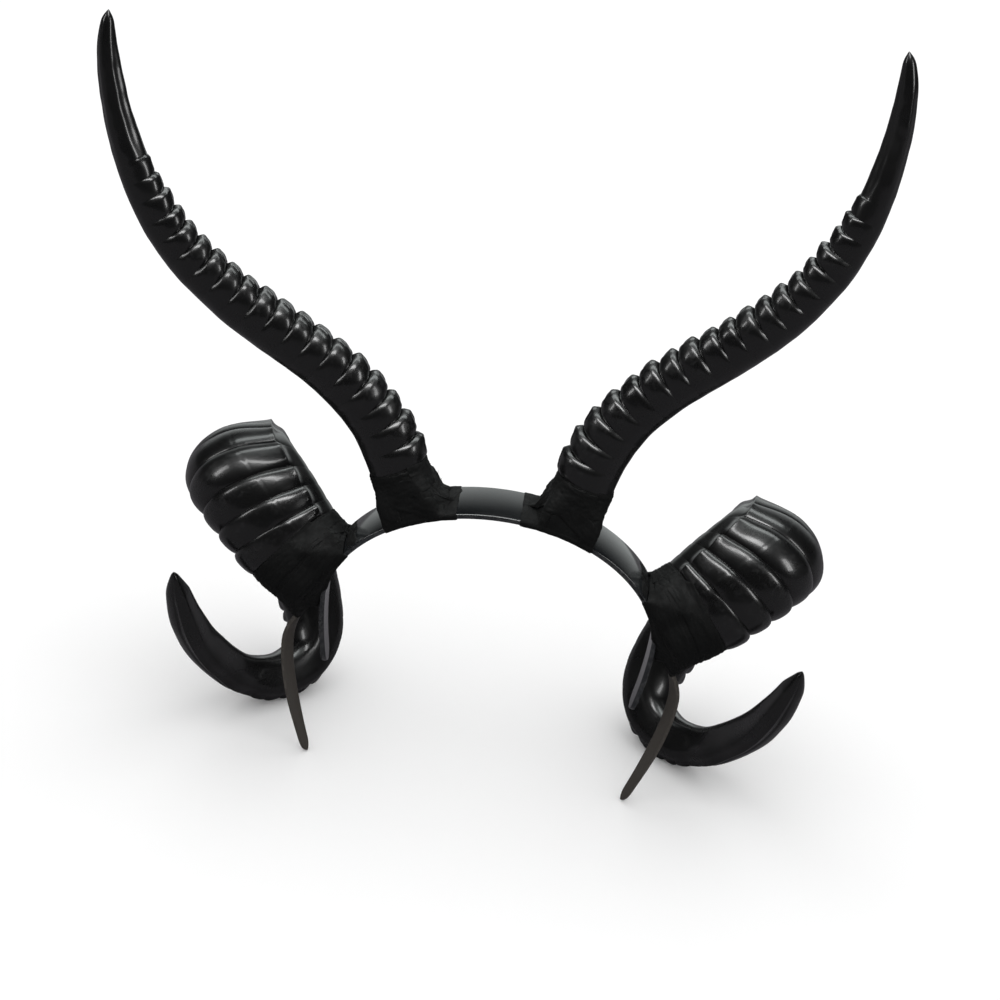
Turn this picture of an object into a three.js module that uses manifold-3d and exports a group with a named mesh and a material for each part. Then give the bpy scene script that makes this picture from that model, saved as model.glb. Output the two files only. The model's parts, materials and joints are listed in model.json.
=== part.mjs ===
// A costume head band with two tall ringed horns and two curled ram horns, bound on with cloth tape.
// Millimetres, +Z up, the front faces -Y. It stands on the ends of its side arms and on both curls.
import * as THREE from "three";
import { mergeVertices } from "three/addons/utils/BufferGeometryUtils.js";
import Module from "manifold-3d";

const wasm = await Module();
wasm.setup();

// Wide band: half of an ellipse over the head, then an arm down each side
const BAND_HALF_SPAN = 77.5;
const BAND_RISE = 58;
const BAND_ARM_LENGTH = 40;
const BAND_ARM_TUCK = 4;
const BAND_WIDTH = 26;
const BAND_END_WIDTH = 12;
const BAND_THICKNESS = 2.4;
const BAND_CROWNING = 0.8;
const BAND_EDGE = 0.7;

// Narrow side arms: they start on the band's outer face, inside the tape, and end in a round tip
const ARM_HALF_SPAN = 91;
const ARM_TIP_HALF_SPAN = 76;
const ARM_START_DROP = 58;
const ARM_WIDEST_DROP = 90;
const ARM_TIP_DROP = 146;
const ARM_TIP_FORWARD = 8;
const ARM_WIDTH = 7;
const ARM_THICKNESS = 2.2;
const ARM_TWIST = 35;
const ARM_TAPED = 0.21;

// Tall horns: a pair of mirrored curves, bound on a little turned and off the middle
const TALL_LENGTH = 264;
const TALL_ROOT_WIDTH = 28.5;
const TALL_ROOT_DEPTH = 25;
const TALL_SPREAD = 34.5;
const TALL_SHIFT = 6.4;
const TALL_PAIR_TURN = 6.5;
const TALL_LEAN_BACK = 8;
const TALL_RINGS = 19;
const TALL_RING_HEIGHT = 1.7;
const TALL_RING_CLOSING = 0.05;
const TALL_RINGED_LENGTH = 200;
const TALL_TAPED_LENGTH = 20;

// Ram horns: one turn of a tapering curl beside the head
const RAM_OUT = 146;
const RAM_BACK = 82;
const RAM_DROP = 140;
const RAM_CURL_OUT = 113;
const RAM_CURL_BACK = 40;
const RAM_CURL_DROP = 82;
const RAM_WIDTH = 47;
const RAM_DEPTH = 40;
const RAM_RIBS = 26;
const RAM_RIB_HEIGHT = 2.2;
const RAM_RIB_CLOSING = 0.18;
const RAM_RIBBED_LENGTH = 262;
const RAM_RIB_TILT = 22;
const RAM_TAPED_LENGTH = 20;

// Cloth tape bound round each horn's root and the band under it
const TAPE_WALL = 1;
const TAPE_CUFF_TALL = 31;
const TAPE_CUFF_TALL_INWARD = 4;
const TAPE_CUFF_TALL_CORE = 25;
const TAPE_CUFF_RAM = 23;
const TAPE_CUFF_RAM_DROP = 41;
const SEAT_GAP = 0.3;
const CUT_DEPTH = 3 * BAND_WIDTH;

// How finely the curves are cut
const BAND_STEPS = 41;
const ARM_STEPS = 18;
const TALL_SIDES = 11;
const CURVE_SAMPLES = 400;

// Lean of the tall horn's spine away from upright, and its size, along its length
const TALL_SHAPE = [
  { along: 0.0, lean: 19, size: 0.93 },
  { along: 0.1, lean: 23, size: 0.9 },
  { along: 0.18, lean: 36.5, size: 0.84 },
  { along: 0.26, lean: 49, size: 0.8 },
  { along: 0.345, lean: 55.5, size: 0.78 },
  { along: 0.43, lean: 55, size: 0.75 },
  { along: 0.51, lean: 49, size: 0.7 },
  { along: 0.59, lean: 39, size: 0.63 },
  { along: 0.67, lean: 28, size: 0.57 },
  { along: 0.755, lean: 19, size: 0.5 },
  { along: 0.835, lean: 11.5, size: 0.43 },
  { along: 0.92, lean: 3.5, size: 0.34 },
  { along: 0.98, lean: -6, size: 0.2 },
  { along: 1.0, lean: -9, size: 0.05 },
];

// The ram horn's spine from its seat on the band to its tip, as shares of RAM_OUT, RAM_BACK and
// RAM_DROP, with the size of its section as shares of RAM_WIDTH and RAM_DEPTH
const RAM_SHAPE = [
  { out: 0.541, back: 0.024, drop: 0.386, wide: 0.88, deep: 0.94 },
  { out: 0.653, back: 0.098, drop: 0.316, wide: 0.93, deep: 0.97 },
  { out: 0.757, back: 0.195, drop: 0.228, wide: 0.98, deep: 1.0 },
  { out: 0.832, back: 0.33, drop: 0.185, wide: 1.0, deep: 1.0 },
  { out: 0.866, back: 0.524, drop: 0.215, wide: 0.98, deep: 0.98 },
  { out: 0.872, back: 0.722, drop: 0.303, wide: 0.94, deep: 0.94 },
  { out: 0.836, back: 0.915, drop: 0.429, wide: 0.85, deep: 0.86 },
  { out: 0.747, back: 1.0, drop: 0.593, wide: 0.74, deep: 0.76 },
  { out: 0.658, back: 0.976, drop: 0.757, wide: 0.64, deep: 0.67 },
  { out: 0.592, back: 0.83, drop: 0.897, wide: 0.54, deep: 0.58 },
  { out: 0.6, back: 0.69, drop: 0.97, wide: 0.48, deep: 0.53 },
  { out: 0.665, back: 0.52, drop: 0.995, wide: 0.44, deep: 0.5 },
  { out: 0.775, back: 0.32, drop: 0.945, wide: 0.41, deep: 0.47 },
  { out: 0.889, back: 0.098, drop: 0.776, wide: 0.39, deep: 0.45 },
  { out: 0.947, back: -0.049, drop: 0.614, wide: 0.34, deep: 0.39 },
  { out: 0.977, back: -0.11, drop: 0.486, wide: 0.24, deep: 0.27 },
  { out: 0.99, back: -0.146, drop: 0.4, wide: 0.04, deep: 0.05 },
];

// The ram horn's section: a flat side towards the head, a sharp ridge, then a full outer side.
// Shares of half the width and half the depth, and how proud each rib stands there
const RAM_SECTION = [
  { out: -0.48, away: 1.1, rib: 1.0 },
  { out: -0.1, away: 1.06, rib: 1.0 },
  { out: 0.27, away: 0.95, rib: 1.0 },
  { out: 0.6, away: 0.75, rib: 1.0 },
  { out: 0.86, away: 0.42, rib: 1.0 },
  { out: 0.98, away: 0.02, rib: 1.0 },
  { out: 0.91, away: -0.42, rib: 0.9 },
  { out: 0.64, away: -0.8, rib: 0.5 },
  { out: 0.2, away: -0.98, rib: 0.1 },
  { out: -0.3, away: -0.98, rib: 0.0 },
  { out: -0.74, away: -0.76, rib: 0.0 },
  { out: -0.98, away: -0.1, rib: 0.0 },
  { out: -1.02, away: 0.68, rib: 0.1 },
];

const radians = THREE.MathUtils.degToRad;
const lerp = THREE.MathUtils.lerp;
const clamp = THREE.MathUtils.clamp;

// A table column at x, on a smooth curve through its rows
function column(table, key, name, x) {
  const last = table.length - 1;
  let i = 0;
  while (i < last - 1 && x > table[i + 1][key]) i += 1;
  const [a, b] = [table[i], table[i + 1]];
  const before = table[Math.max(i - 1, 0)];
  const after = table[Math.min(i + 2, last)];
  const span = b[key] - a[key];
  const t = clamp((x - a[key]) / span, 0, 1);
  const slopeA = ((b[name] - before[name]) / (b[key] - before[key])) * span;
  const slopeB = ((after[name] - a[name]) / (after[key] - a[key])) * span;
  const [t2, t3] = [t * t, t * t * t];
  return (
    (2 * t3 - 3 * t2 + 1) * a[name] +
    (t3 - 2 * t2 + t) * slopeA +
    (3 * t2 - 2 * t3) * b[name] +
    (t3 - t2) * slopeB
  );
}

// Closed surface through rings of equal counts, with a fan over each end
function loft(rings) {
  const sides = rings[0].length;
  const points = rings.flat();
  const faces = [];
  for (let r = 0; r + 1 < rings.length; r += 1) {
    for (let i = 0; i < sides; i += 1) {
      const [a, b] = [r * sides + i, r * sides + ((i + 1) % sides)];
      faces.push([a, b, b + sides], [a, b + sides, a + sides]);
    }
  }
  for (const [ring, start, turned] of [
    [rings[0], 0, true],
    [rings.at(-1), (rings.length - 1) * sides, false],
  ]) {
    const hub = points.length;
    points.push(middle(ring));
    for (let i = 0; i < sides; i += 1) {
      const [a, b] = [start + i, start + ((i + 1) % sides)];
      faces.push(turned ? [b, a, hub] : [a, b, hub]);
    }
  }
  if (signedVolume(points, faces) < 0) faces.forEach((face) => face.reverse());
  const geometry = new THREE.BufferGeometry().setFromPoints(points);
  geometry.setIndex(faces.flat());
  return geometry;
}

function middle(ring) {
  const sum = new THREE.Vector3();
  ring.forEach((p) => sum.add(p));
  return sum.divideScalar(ring.length);
}

function signedVolume(points, faces) {
  const cross = new THREE.Vector3();
  return faces.reduce(
    (sum, [a, b, c]) =>
      sum + cross.crossVectors(points[a], points[b]).dot(points[c]),
    0,
  );
}

function solidFrom(geometry) {
  const merged = mergeVertices(geometry, 1e-4);
  return new wasm.Manifold(
    new wasm.Mesh({
      numProp: 3,
      vertProperties: new Float32Array(merged.attributes.position.array),
      triVerts: new Uint32Array(merged.index.array),
    }),
  );
}

function geometryFrom(solid) {
  const mesh = solid.getMesh();
  const geometry = new THREE.BufferGeometry();
  geometry.setAttribute(
    "position",
    new THREE.BufferAttribute(mesh.vertProperties, 3),
  );
  geometry.setIndex(new THREE.BufferAttribute(mesh.triVerts, 1));
  return geometry;
}

// The band's middle line: q runs from -1 at the left end through 0 at the crown to 1
function bandPoint(q) {
  const across = BAND_HALF_SPAN - BAND_THICKNESS / 2;
  const rise = BAND_RISE - BAND_THICKNESS / 2;
  const arch = (Math.PI / 2) * Math.sqrt((across * across + rise * rise) / 2);
  const run = Math.abs(q) * (arch + BAND_ARM_LENGTH);
  if (run <= arch) {
    const angle = (run / arch) * (Math.PI / 2);
    return new THREE.Vector3(
      Math.sign(q) * across * Math.sin(angle),
      0,
      rise * Math.cos(angle) - BAND_RISE,
    );
  }
  const down = (run - arch) / BAND_ARM_LENGTH;
  return new THREE.Vector3(
    Math.sign(q) * (across - BAND_ARM_TUCK * down * down),
    0,
    -BAND_RISE - BAND_ARM_LENGTH * down,
  );
}

function bandOutward(q) {
  const step = 1e-3;
  const along = bandPoint(q + step).sub(bandPoint(q - step));
  return new THREE.Vector3(-along.z, 0, along.x).normalize();
}

// Full width over the crown, narrowing along each arm and rounded at its end
function bandWidth(q) {
  const narrowing = THREE.MathUtils.smoothstep(Math.abs(q), 0.45, 1);
  return lerp(BAND_WIDTH, BAND_END_WIDTH, narrowing);
}

// The band's section: flat inside, crowned outside, edges eased; grown by some clearance
function bandRing(q, grow, share = 1) {
  const half = (bandWidth(q) / 2) * share + grow;
  const inner = -BAND_THICKNESS / 2 - grow;
  const outer = BAND_THICKNESS / 2 + grow;
  const edge = Math.min(BAND_EDGE, half / 2);
  const outline = [
    [-half + edge, inner],
    [half - edge, inner],
    [half, inner + edge],
    [half, outer - edge],
    [half - edge, outer],
    [half / 2, outer + BAND_CROWNING * 0.75],
    [0, outer + BAND_CROWNING],
    [-half / 2, outer + BAND_CROWNING * 0.75],
    [-half + edge, outer],
    [-half, outer - edge],
    [-half, inner + edge],
  ];
  const centre = bandPoint(q);
  const outward = bandOutward(q);
  return outline.map(([y, out]) =>
    centre.clone().addScaledVector(outward, out).setY(y),
  );
}

function bandSolid(grow) {
  const rings = [];
  const ending = 0.03;
  for (let i = 0; i <= BAND_STEPS; i += 1) {
    const q = lerp(-1 + ending, 1 - ending, i / BAND_STEPS);
    rings.push(bandRing(q, grow));
  }
  const round = [0.8, 0.45];
  round.forEach((share, i) => {
    const q = lerp(1 - ending, 1, (i + 1) / round.length);
    rings.push(bandRing(q, grow, share));
    rings.unshift(bandRing(-q, grow, share));
  });
  return solidFrom(loft(rings));
}

// The place on the band's outer face at a distance x from the middle
function bandAt(x) {
  let [low, high] = [0, 1];
  for (let i = 0; i < 40; i += 1) {
    const q = (low + high) / 2;
    if (bandPoint(q).x < Math.abs(x) && bandPoint(q).z > -BAND_RISE) low = q;
    else high = q;
  }
  return Math.sign(x) * low;
}

// The place on the band's side at a drop below the crown
function bandAtDrop(drop, side) {
  let [low, high] = [0, 1];
  for (let i = 0; i < 40; i += 1) {
    const q = (low + high) / 2;
    if (-bandPoint(q).z < drop) low = q;
    else high = q;
  }
  return side * low;
}

// A side arm's middle line: from the band's outer face down and out, then in to its tip
function armCurve(side) {
  const q = bandAtDrop(ARM_START_DROP, side);
  const off = BAND_THICKNESS / 2 + BAND_CROWNING + SEAT_GAP + ARM_THICKNESS / 2;
  const start = bandPoint(q).addScaledVector(bandOutward(q), off);
  const widest = new THREE.Vector3(side * ARM_HALF_SPAN, 0, -ARM_WIDEST_DROP);
  const tip = new THREE.Vector3(
    side * ARM_TIP_HALF_SPAN,
    -ARM_TIP_FORWARD,
    -ARM_TIP_DROP,
  );
  const fall = start.z - widest.z;
  const curve = new THREE.CurvePath();
  curve.add(
    new THREE.CubicBezierCurve3(
      start,
      start.clone().setZ(start.z - fall * 0.25),
      widest.clone().setZ(widest.z + fall * 0.45),
      widest,
    ),
  );
  curve.add(
    new THREE.CubicBezierCurve3(
      widest,
      widest.clone().setZ(lerp(widest.z, tip.z, 0.35)),
      new THREE.Vector3(
        lerp(tip.x, widest.x, 0.42),
        tip.y * 0.7,
        lerp(tip.z, widest.z, 0.3),
      ),
      tip,
    ),
  );
  return curve;
}

// A side arm: a flat strip that turns its inner face forward and ends round
function armSolid(side, grow) {
  const curve = armCurve(side);
  const rings = [];
  for (let i = 0; i <= ARM_STEPS; i += 1) {
    rings.push(armRing(curve, side, i / ARM_STEPS, grow));
  }
  return solidFrom(loft(rings));
}

function armRing(curve, side, u, grow) {
  const centre = curve.getPointAt(u);
  const tangent = curve.getTangentAt(u);
  const twist = radians(ARM_TWIST) * THREE.MathUtils.smoothstep(u, 0, 0.4);
  const back = new THREE.Vector3(-side * Math.sin(twist), Math.cos(twist), 0);
  back.projectOnPlane(tangent).normalize();
  const out = new THREE.Vector3().crossVectors(tangent, back);
  const toEnd = (curve.getLength() * (1 - u)) / (ARM_WIDTH / 2);
  const round = Math.sqrt(1 - Math.pow(1 - clamp(toEnd, 0.12, 1), 2));
  const half = (ARM_WIDTH / 2) * round + grow;
  const thick = ARM_THICKNESS / 2 + grow;
  const edge = thick * 0.45;
  const outline = [
    [-half + edge, -thick],
    [half - edge, -thick],
    [half, -thick + edge],
    [half, thick - edge],
    [half - edge, thick],
    [-half + edge, thick],
    [-half, thick - edge],
    [-half, -thick + edge],
  ];
  return outline.map(([y, o]) =>
    centre.clone().addScaledVector(back, y).addScaledVector(out, o),
  );
}

// Samples of the tall horn's spine, from its seat on the band: centre, tangent and size
function tallSpine(side) {
  const q = bandAt(side * TALL_SPREAD - TALL_SHIFT);
  const seat = BAND_THICKNESS / 2 + BAND_CROWNING;
  const centre = bandPoint(q).addScaledVector(bandOutward(q), seat);
  const back = radians(TALL_LEAN_BACK);
  const samples = [];
  for (let i = 0; i <= CURVE_SAMPLES; i += 1) {
    const along = i / CURVE_SAMPLES;
    const lean = column(TALL_SHAPE, "along", "lean", along);
    const tilt = radians(lean - side * TALL_PAIR_TURN);
    const tangent = new THREE.Vector3(
      side * Math.sin(tilt),
      Math.cos(tilt) * Math.sin(back),
      Math.cos(tilt) * Math.cos(back),
    );
    const size = column(TALL_SHAPE, "along", "size", along);
    samples.push({
      run: along * TALL_LENGTH,
      centre: centre.clone(),
      tangent,
      inward: new THREE.Vector3(
        -side * Math.cos(tilt),
        Math.sin(tilt) * Math.sin(back),
        Math.sin(tilt) * Math.cos(back),
      ),
      wide: (TALL_ROOT_WIDTH / 2) * size,
      deep: (TALL_ROOT_DEPTH / 2) * (size + (1 - size) * 0.12 * size),
    });
    centre.addScaledVector(tangent, TALL_LENGTH / CURVE_SAMPLES);
  }
  return samples;
}

// How far the ribs' outer ends lead along the ram horn, at some share of the ribbed length:
// more towards the top, none behind
function ribTilt(share) {
  const rise = clamp((share - 0.06) / 0.2, 0, 1);
  const fall = 1 - THREE.MathUtils.smoothstep(share, 0.42, 0.72);
  return radians(RAM_RIB_TILT) * rise * fall;
}

// Samples of the ram horn's spine round its curl
function ramSpine(side) {
  const points = RAM_SHAPE.map(
    ({ out, back, drop }) =>
      new THREE.Vector3(side * RAM_OUT * out, RAM_BACK * back, -RAM_DROP * drop),
  );
  const curve = new THREE.CatmullRomCurve3(points, false, "centripetal");
  const sizes = RAM_SHAPE.map(
    ({ wide, deep }) => new THREE.Vector3(wide, deep, 0),
  );
  const sizeCurve = new THREE.CatmullRomCurve3(sizes, false, "centripetal");
  const length = curve.getLength();
  const hub = new THREE.Vector3(
    side * RAM_CURL_OUT,
    RAM_CURL_BACK,
    -RAM_CURL_DROP,
  );
  const samples = [];
  for (let i = 0; i <= CURVE_SAMPLES; i += 1) {
    const along = i / CURVE_SAMPLES;
    const centre = curve.getPointAt(along);
    const tangent = curve.getTangentAt(along);
    const size = sizeCurve.getPoint(curve.getUtoTmapping(along));
    const radial = centre.clone().sub(hub);
    const run = along * length;
    samples.push({
      run,
      tilt: ribTilt(run / RAM_RIBBED_LENGTH),
      centre,
      tangent,
      radial: radial.projectOnPlane(tangent).normalize(),
      wide: (RAM_WIDTH / 2) * size.x,
      deep: (RAM_DEPTH / 2) * size.y,
    });
  }
  return samples;
}

// The sample nearest a distance along a spine
function sampleAt(spine, run) {
  const found = spine.find((sample) => sample.run >= run);
  return found ?? spine.at(-1);
}

// Round section of the tall horn. Rings stand proud on its inner and front faces and fade behind.
function tallRing(sample, side, ridge, grow) {
  const front = new THREE.Vector3().crossVectors(sample.tangent, sample.inward);
  front.multiplyScalar(-side);
  const ring = [];
  for (let i = 0; i < TALL_SIDES; i += 1) {
    const angle = (i / TALL_SIDES) * Math.PI * 2;
    const facing = 0.5 + 0.5 * Math.cos(angle - radians(35));
    const proud = grow + ridge * TALL_RING_HEIGHT * Math.sqrt(facing);
    ring.push(
      sample.centre
        .clone()
        .addScaledVector(sample.inward, (sample.wide + proud) * Math.cos(angle))
        .addScaledVector(front, (sample.deep + proud) * Math.sin(angle)),
    );
  }
  return ring;
}

// Section of the ram horn across its spine
function ramRing(sample, side, ridge, grow) {
  const outward = new THREE.Vector3().crossVectors(
    sample.tangent,
    sample.radial,
  );
  outward.multiplyScalar(side);
  return RAM_SECTION.map(({ out, away, rib }) => {
    const length = Math.hypot(out, away);
    const proud = (grow + ridge * rib * RAM_RIB_HEIGHT) / length;
    const reach = out * (sample.wide + proud);
    return sample.centre
      .clone()
      .addScaledVector(outward, reach)
      .addScaledVector(sample.tangent, reach * Math.tan(sample.tilt))
      .addScaledVector(sample.radial, away * (sample.deep + proud));
  });
}

// Stations along a horn: a smooth root, then ribs with a groove and a flat crest, then a smooth tip
function stations({ taped, ribbed, ribs, closing, fading, length }) {
  const list = [
    { run: 0, ridge: 0 },
    { run: taped / 2, ridge: 0 },
  ];
  const runTo = (rib) => {
    const share = rib / ribs;
    const eased = share * (1 + closing) - closing * share * share;
    return lerp(taped, ribbed, eased);
  };
  for (let i = 0; i < ribs; i += 1) {
    const fade = Math.min(1, (ribs - i) / fading);
    list.push({ run: runTo(i), ridge: 0 });
    list.push({ run: runTo(i + 0.3), ridge: fade });
    list.push({ run: runTo(i + 0.72), ridge: fade });
  }
  const smooth = [0, 0.2, 0.4, 0.58, 0.74, 0.87, 0.96, 1];
  smooth.forEach((share) =>
    list.push({ run: lerp(ribbed, length, share), ridge: 0 }),
  );
  return list;
}

function hornSolid(spine, ringOf, side, list) {
  const rings = list.map(({ run, ridge }) =>
    ringOf(sampleAt(spine, run), side, ridge, 0),
  );
  return solidFrom(loft(rings));
}

// A horn's smooth root grown by some clearance, longer than the tape at both ends
function rootSolid(spine, ringOf, side, taped, grow) {
  const rings = [0, 0.25, 0.5, 0.75, 1, 1.25].map((share) =>
    ringOf(sampleAt(spine, taped * share), side, 0, grow),
  );
  return solidFrom(loft(rings));
}

// A slab across the band, filled inwards from a line given in the plane of the arch
function slab(line, inwards, depth) {
  const outline = [...line, ...inwards].map((p) => [p.x, p.z]);
  const section = new wasm.CrossSection([outline], "NonZero");
  return section
    .extrude(depth)
    .translate([0, 0, -depth / 2])
    .rotate([90, 0, 0]);
}

// Everything inside the band at some offset from its middle line
function insideBand(offset, depth) {
  const line = [];
  for (let i = 0; i <= BAND_STEPS; i += 1) {
    const q = lerp(-1, 1, i / BAND_STEPS);
    line.push(bandPoint(q).addScaledVector(bandOutward(q), offset));
  }
  return slab(line, [], depth);
}

// Everything between the band's side and the outer face of a side arm's upper half
function insideArm(side, depth) {
  const curve = armCurve(side);
  const line = [];
  for (let i = 0; i <= 8; i += 1) {
    const u = (i / 8) * 0.5;
    const tangent = curve.getTangentAt(u);
    const out = new THREE.Vector3(-side * tangent.z, 0, side * tangent.x);
    const off = ARM_THICKNESS / 2 + SEAT_GAP;
    line.push(curve.getPointAt(u).addScaledVector(out, off));
  }
  const inwards = [line.at(-1).clone().setX(0), line[0].clone().setX(0)];
  return slab(line, inwards, depth);
}

// Tape: skins drawn tight over the band and the horn's root, hollow where these pass through
function tapeSolid(skins, cuts) {
  const hulls = skins.map((skin) =>
    wasm.Manifold.hull(skin.map((point) => point.toArray())),
  );
  const inside = -BAND_THICKNESS / 2 - SEAT_GAP - TAPE_WALL;
  const hollow = insideBand(inside, CUT_DEPTH);
  const tape = wasm.Manifold.union(hulls);
  return largest(
    [hollow, ...cuts].reduce((left, cut) => left.subtract(cut), tape),
  );
}

// Points of the tape round the band, over some length of it on both sides of q
function cuffSkin(q, length) {
  const reach = length / 2 / bandRun();
  return [-1, 0, 1].flatMap((share) =>
    bandRing(q + share * reach, SEAT_GAP + TAPE_WALL),
  );
}

// Points of the tape round a horn's root
function collarSkin(spine, ringOf, side, taped, shares) {
  return shares.flatMap((share) =>
    ringOf(sampleAt(spine, taped * share), side, 0, SEAT_GAP + TAPE_WALL),
  );
}

function largest(solid) {
  const parts = solid.decompose();
  parts.sort((a, b) => b.volume() - a.volume());
  return parts[0];
}

function bandRun() {
  const across = BAND_HALF_SPAN - BAND_THICKNESS / 2;
  const rise = BAND_RISE - BAND_THICKNESS / 2;
  const arch = (Math.PI / 2) * Math.sqrt((across * across + rise * rise) / 2);
  return arch + BAND_ARM_LENGTH;
}

const glossyBlack = new THREE.MeshStandardMaterial({
  color: 0x0b0b0c,
  roughness: 0.22,
  metalness: 0,
});
const bandBlack = new THREE.MeshStandardMaterial({
  color: 0x15181a,
  roughness: 0.18,
  metalness: 0,
});
const dullBrown = new THREE.MeshStandardMaterial({
  color: 0x2b2723,
  roughness: 0.55,
  metalness: 0,
});
const tapeBlack = new THREE.MeshStandardMaterial({
  color: 0x0d0d0e,
  roughness: 0.85,
  metalness: 0,
});

const pieces = new THREE.Group();

function place(name, solid, material) {
  const mesh = new THREE.Mesh(geometryFrom(solid), material);
  mesh.name = name;
  pieces.add(mesh);
  return mesh;
}

const bandClear = bandSolid(SEAT_GAP);
place("head_band", bandSolid(0), bandBlack);

// Horns are cut to the band's outer face where they sit on it
const seatOffset = BAND_THICKNESS / 2 + BAND_CROWNING + SEAT_GAP;
const seatCut = insideBand(seatOffset, CUT_DEPTH);

const arms = [];
const rams = [];
for (const [word, side] of [
  ["left", -1],
  ["right", 1],
]) {
  const tall = tallSpine(side);
  const tallList = stations({
    taped: TALL_TAPED_LENGTH,
    ribbed: TALL_RINGED_LENGTH,
    ribs: TALL_RINGS,
    closing: TALL_RING_CLOSING,
    fading: 4,
    length: TALL_LENGTH,
  });
  place(
    `tall_horn_${word}`,
    hornSolid(tall, tallRing, side, tallList).subtract(seatCut),
    glossyBlack,
  );
  const tallSeat = side * TALL_SPREAD - TALL_SHIFT;
  const tallCuff = tallSeat - side * TAPE_CUFF_TALL_INWARD;
  place(
    `tall_wrap_${word}`,
    tapeSolid(
      [
        [
          ...cuffSkin(bandAt(tallSeat), TAPE_CUFF_TALL_CORE),
          ...collarSkin(tall, tallRing, side, TALL_TAPED_LENGTH, [0.3, 1]),
        ],
        cuffSkin(bandAt(tallCuff), TAPE_CUFF_TALL),
      ],
      [bandClear, rootSolid(tall, tallRing, side, TALL_TAPED_LENGTH, SEAT_GAP)],
    ),
    tapeBlack,
  );

  const armClear = armSolid(side, SEAT_GAP);
  arms.push(place(`side_arm_${word}`, armSolid(side, 0), dullBrown));

  const ram = ramSpine(side);
  const ramList = stations({
    taped: RAM_TAPED_LENGTH,
    ribbed: RAM_RIBBED_LENGTH,
    ribs: RAM_RIBS,
    closing: RAM_RIB_CLOSING,
    fading: 9,
    length: ram.at(-1).run,
  });
  rams.push(
    place(
      `ram_horn_${word}`,
      largest(
        hornSolid(ram, ramRing, side, ramList)
          .subtract(seatCut)
          .subtract(insideArm(side, CUT_DEPTH)),
      ),
      glossyBlack,
    ),
  );
  const ramCuff = bandAtDrop(TAPE_CUFF_RAM_DROP, side);
  place(
    `ram_wrap_${word}`,
    tapeSolid(
      [
        [
          ...cuffSkin(ramCuff, TAPE_CUFF_RAM),
          ...collarSkin(ram, ramRing, side, RAM_TAPED_LENGTH, [0, 0.5, 1]),
          ...armRing(armCurve(side), side, ARM_TAPED, SEAT_GAP + TAPE_WALL),
        ],
      ],
      [
        bandClear,
        armClear,
        rootSolid(ram, ramRing, side, RAM_TAPED_LENGTH, SEAT_GAP),
      ],
    ),
    tapeBlack,
  );
}

// Lowest point of some pieces once turned by an angle about the X axis
function lowest(meshes, pitch) {
  let low = new THREE.Vector3(0, 0, Infinity);
  const turned = new THREE.Vector3();
  for (const mesh of meshes) {
    const points = mesh.geometry.getAttribute("position");
    for (let i = 0; i < points.count; i += 1) {
      turned.fromBufferAttribute(points, i);
      turned.applyAxisAngle(new THREE.Vector3(1, 0, 0), pitch);
      if (turned.z < low.z) low = turned.clone();
    }
  }
  return low;
}

// It stands on the arms' tips in front and the curls behind: turn it until both are level
let pitch = 0;
for (let i = 0; i < 8; i += 1) {
  const tips = lowest(arms, pitch);
  const curls = lowest(rams, pitch);
  pitch -= Math.atan2(curls.z - tips.z, curls.y - tips.y);
}
pieces.rotation.x = pitch;

const headband = new THREE.Group();
headband.add(pieces);
headband.updateMatrixWorld(true);
const box = new THREE.Box3().setFromObject(headband, true);
const foot = box.getCenter(new THREE.Vector3()).setZ(box.min.z);
pieces.position.sub(foot);

export default headband;
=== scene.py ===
"""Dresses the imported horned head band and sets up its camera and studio.

Sizes inside the piece classes are millimetres in the band's own frame: the top of the band is the
origin, +X runs to the right, +Y to the back and +Z up. RestPose turns them into the frame's metres.
"""

import json
import logging
import math
from collections.abc import Callable
from dataclasses import dataclass
from enum import Enum

import bpy
import numpy as np
from mathutils import Matrix, Vector, noise
from mathutils.bvhtree import BVHTree

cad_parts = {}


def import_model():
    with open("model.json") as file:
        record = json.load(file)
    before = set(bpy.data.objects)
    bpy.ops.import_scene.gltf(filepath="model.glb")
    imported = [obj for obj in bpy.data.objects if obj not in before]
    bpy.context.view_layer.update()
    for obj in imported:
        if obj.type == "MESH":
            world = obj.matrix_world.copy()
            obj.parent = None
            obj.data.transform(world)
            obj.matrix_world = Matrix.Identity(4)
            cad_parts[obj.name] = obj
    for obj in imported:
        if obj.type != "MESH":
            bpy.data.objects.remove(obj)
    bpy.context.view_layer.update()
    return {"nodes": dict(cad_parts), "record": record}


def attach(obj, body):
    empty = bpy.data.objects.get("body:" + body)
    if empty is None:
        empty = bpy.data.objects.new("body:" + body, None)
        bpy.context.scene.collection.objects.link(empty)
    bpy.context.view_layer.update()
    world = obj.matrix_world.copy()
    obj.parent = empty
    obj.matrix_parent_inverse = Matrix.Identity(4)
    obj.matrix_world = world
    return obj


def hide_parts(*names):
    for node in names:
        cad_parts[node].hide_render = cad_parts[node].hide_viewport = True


LOG = logging.getLogger("headband")
MM = 0.001
BODY = "root"
BACK = np.array([0.0, 1.0, 0.0])
Array = np.ndarray


class Side(Enum):
    """The side of the head that a piece is on, with its sign along X."""

    LEFT = -1
    RIGHT = 1

    @property
    def word(self) -> str:
        """The side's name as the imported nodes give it."""
        return self.name.lower()


def unit(vectors: Array) -> Array:
    """Scales each vector to length one."""
    return vectors / np.linalg.norm(vectors, axis=-1, keepdims=True)


def smoothstep(x: Array | float, low: float, high: float) -> Array:
    """Rises smoothly from 0 at low to 1 at high."""
    t = np.clip((np.asarray(x, float) - low) / (high - low), 0, 1)
    return t * t * (3 - 2 * t)


def bell(x: Array, middle: float, reach: float) -> Array:
    """A smooth bump of height 1 at middle that fades over a reach."""
    return np.exp(-(((x - middle) / reach) ** 2))


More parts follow.
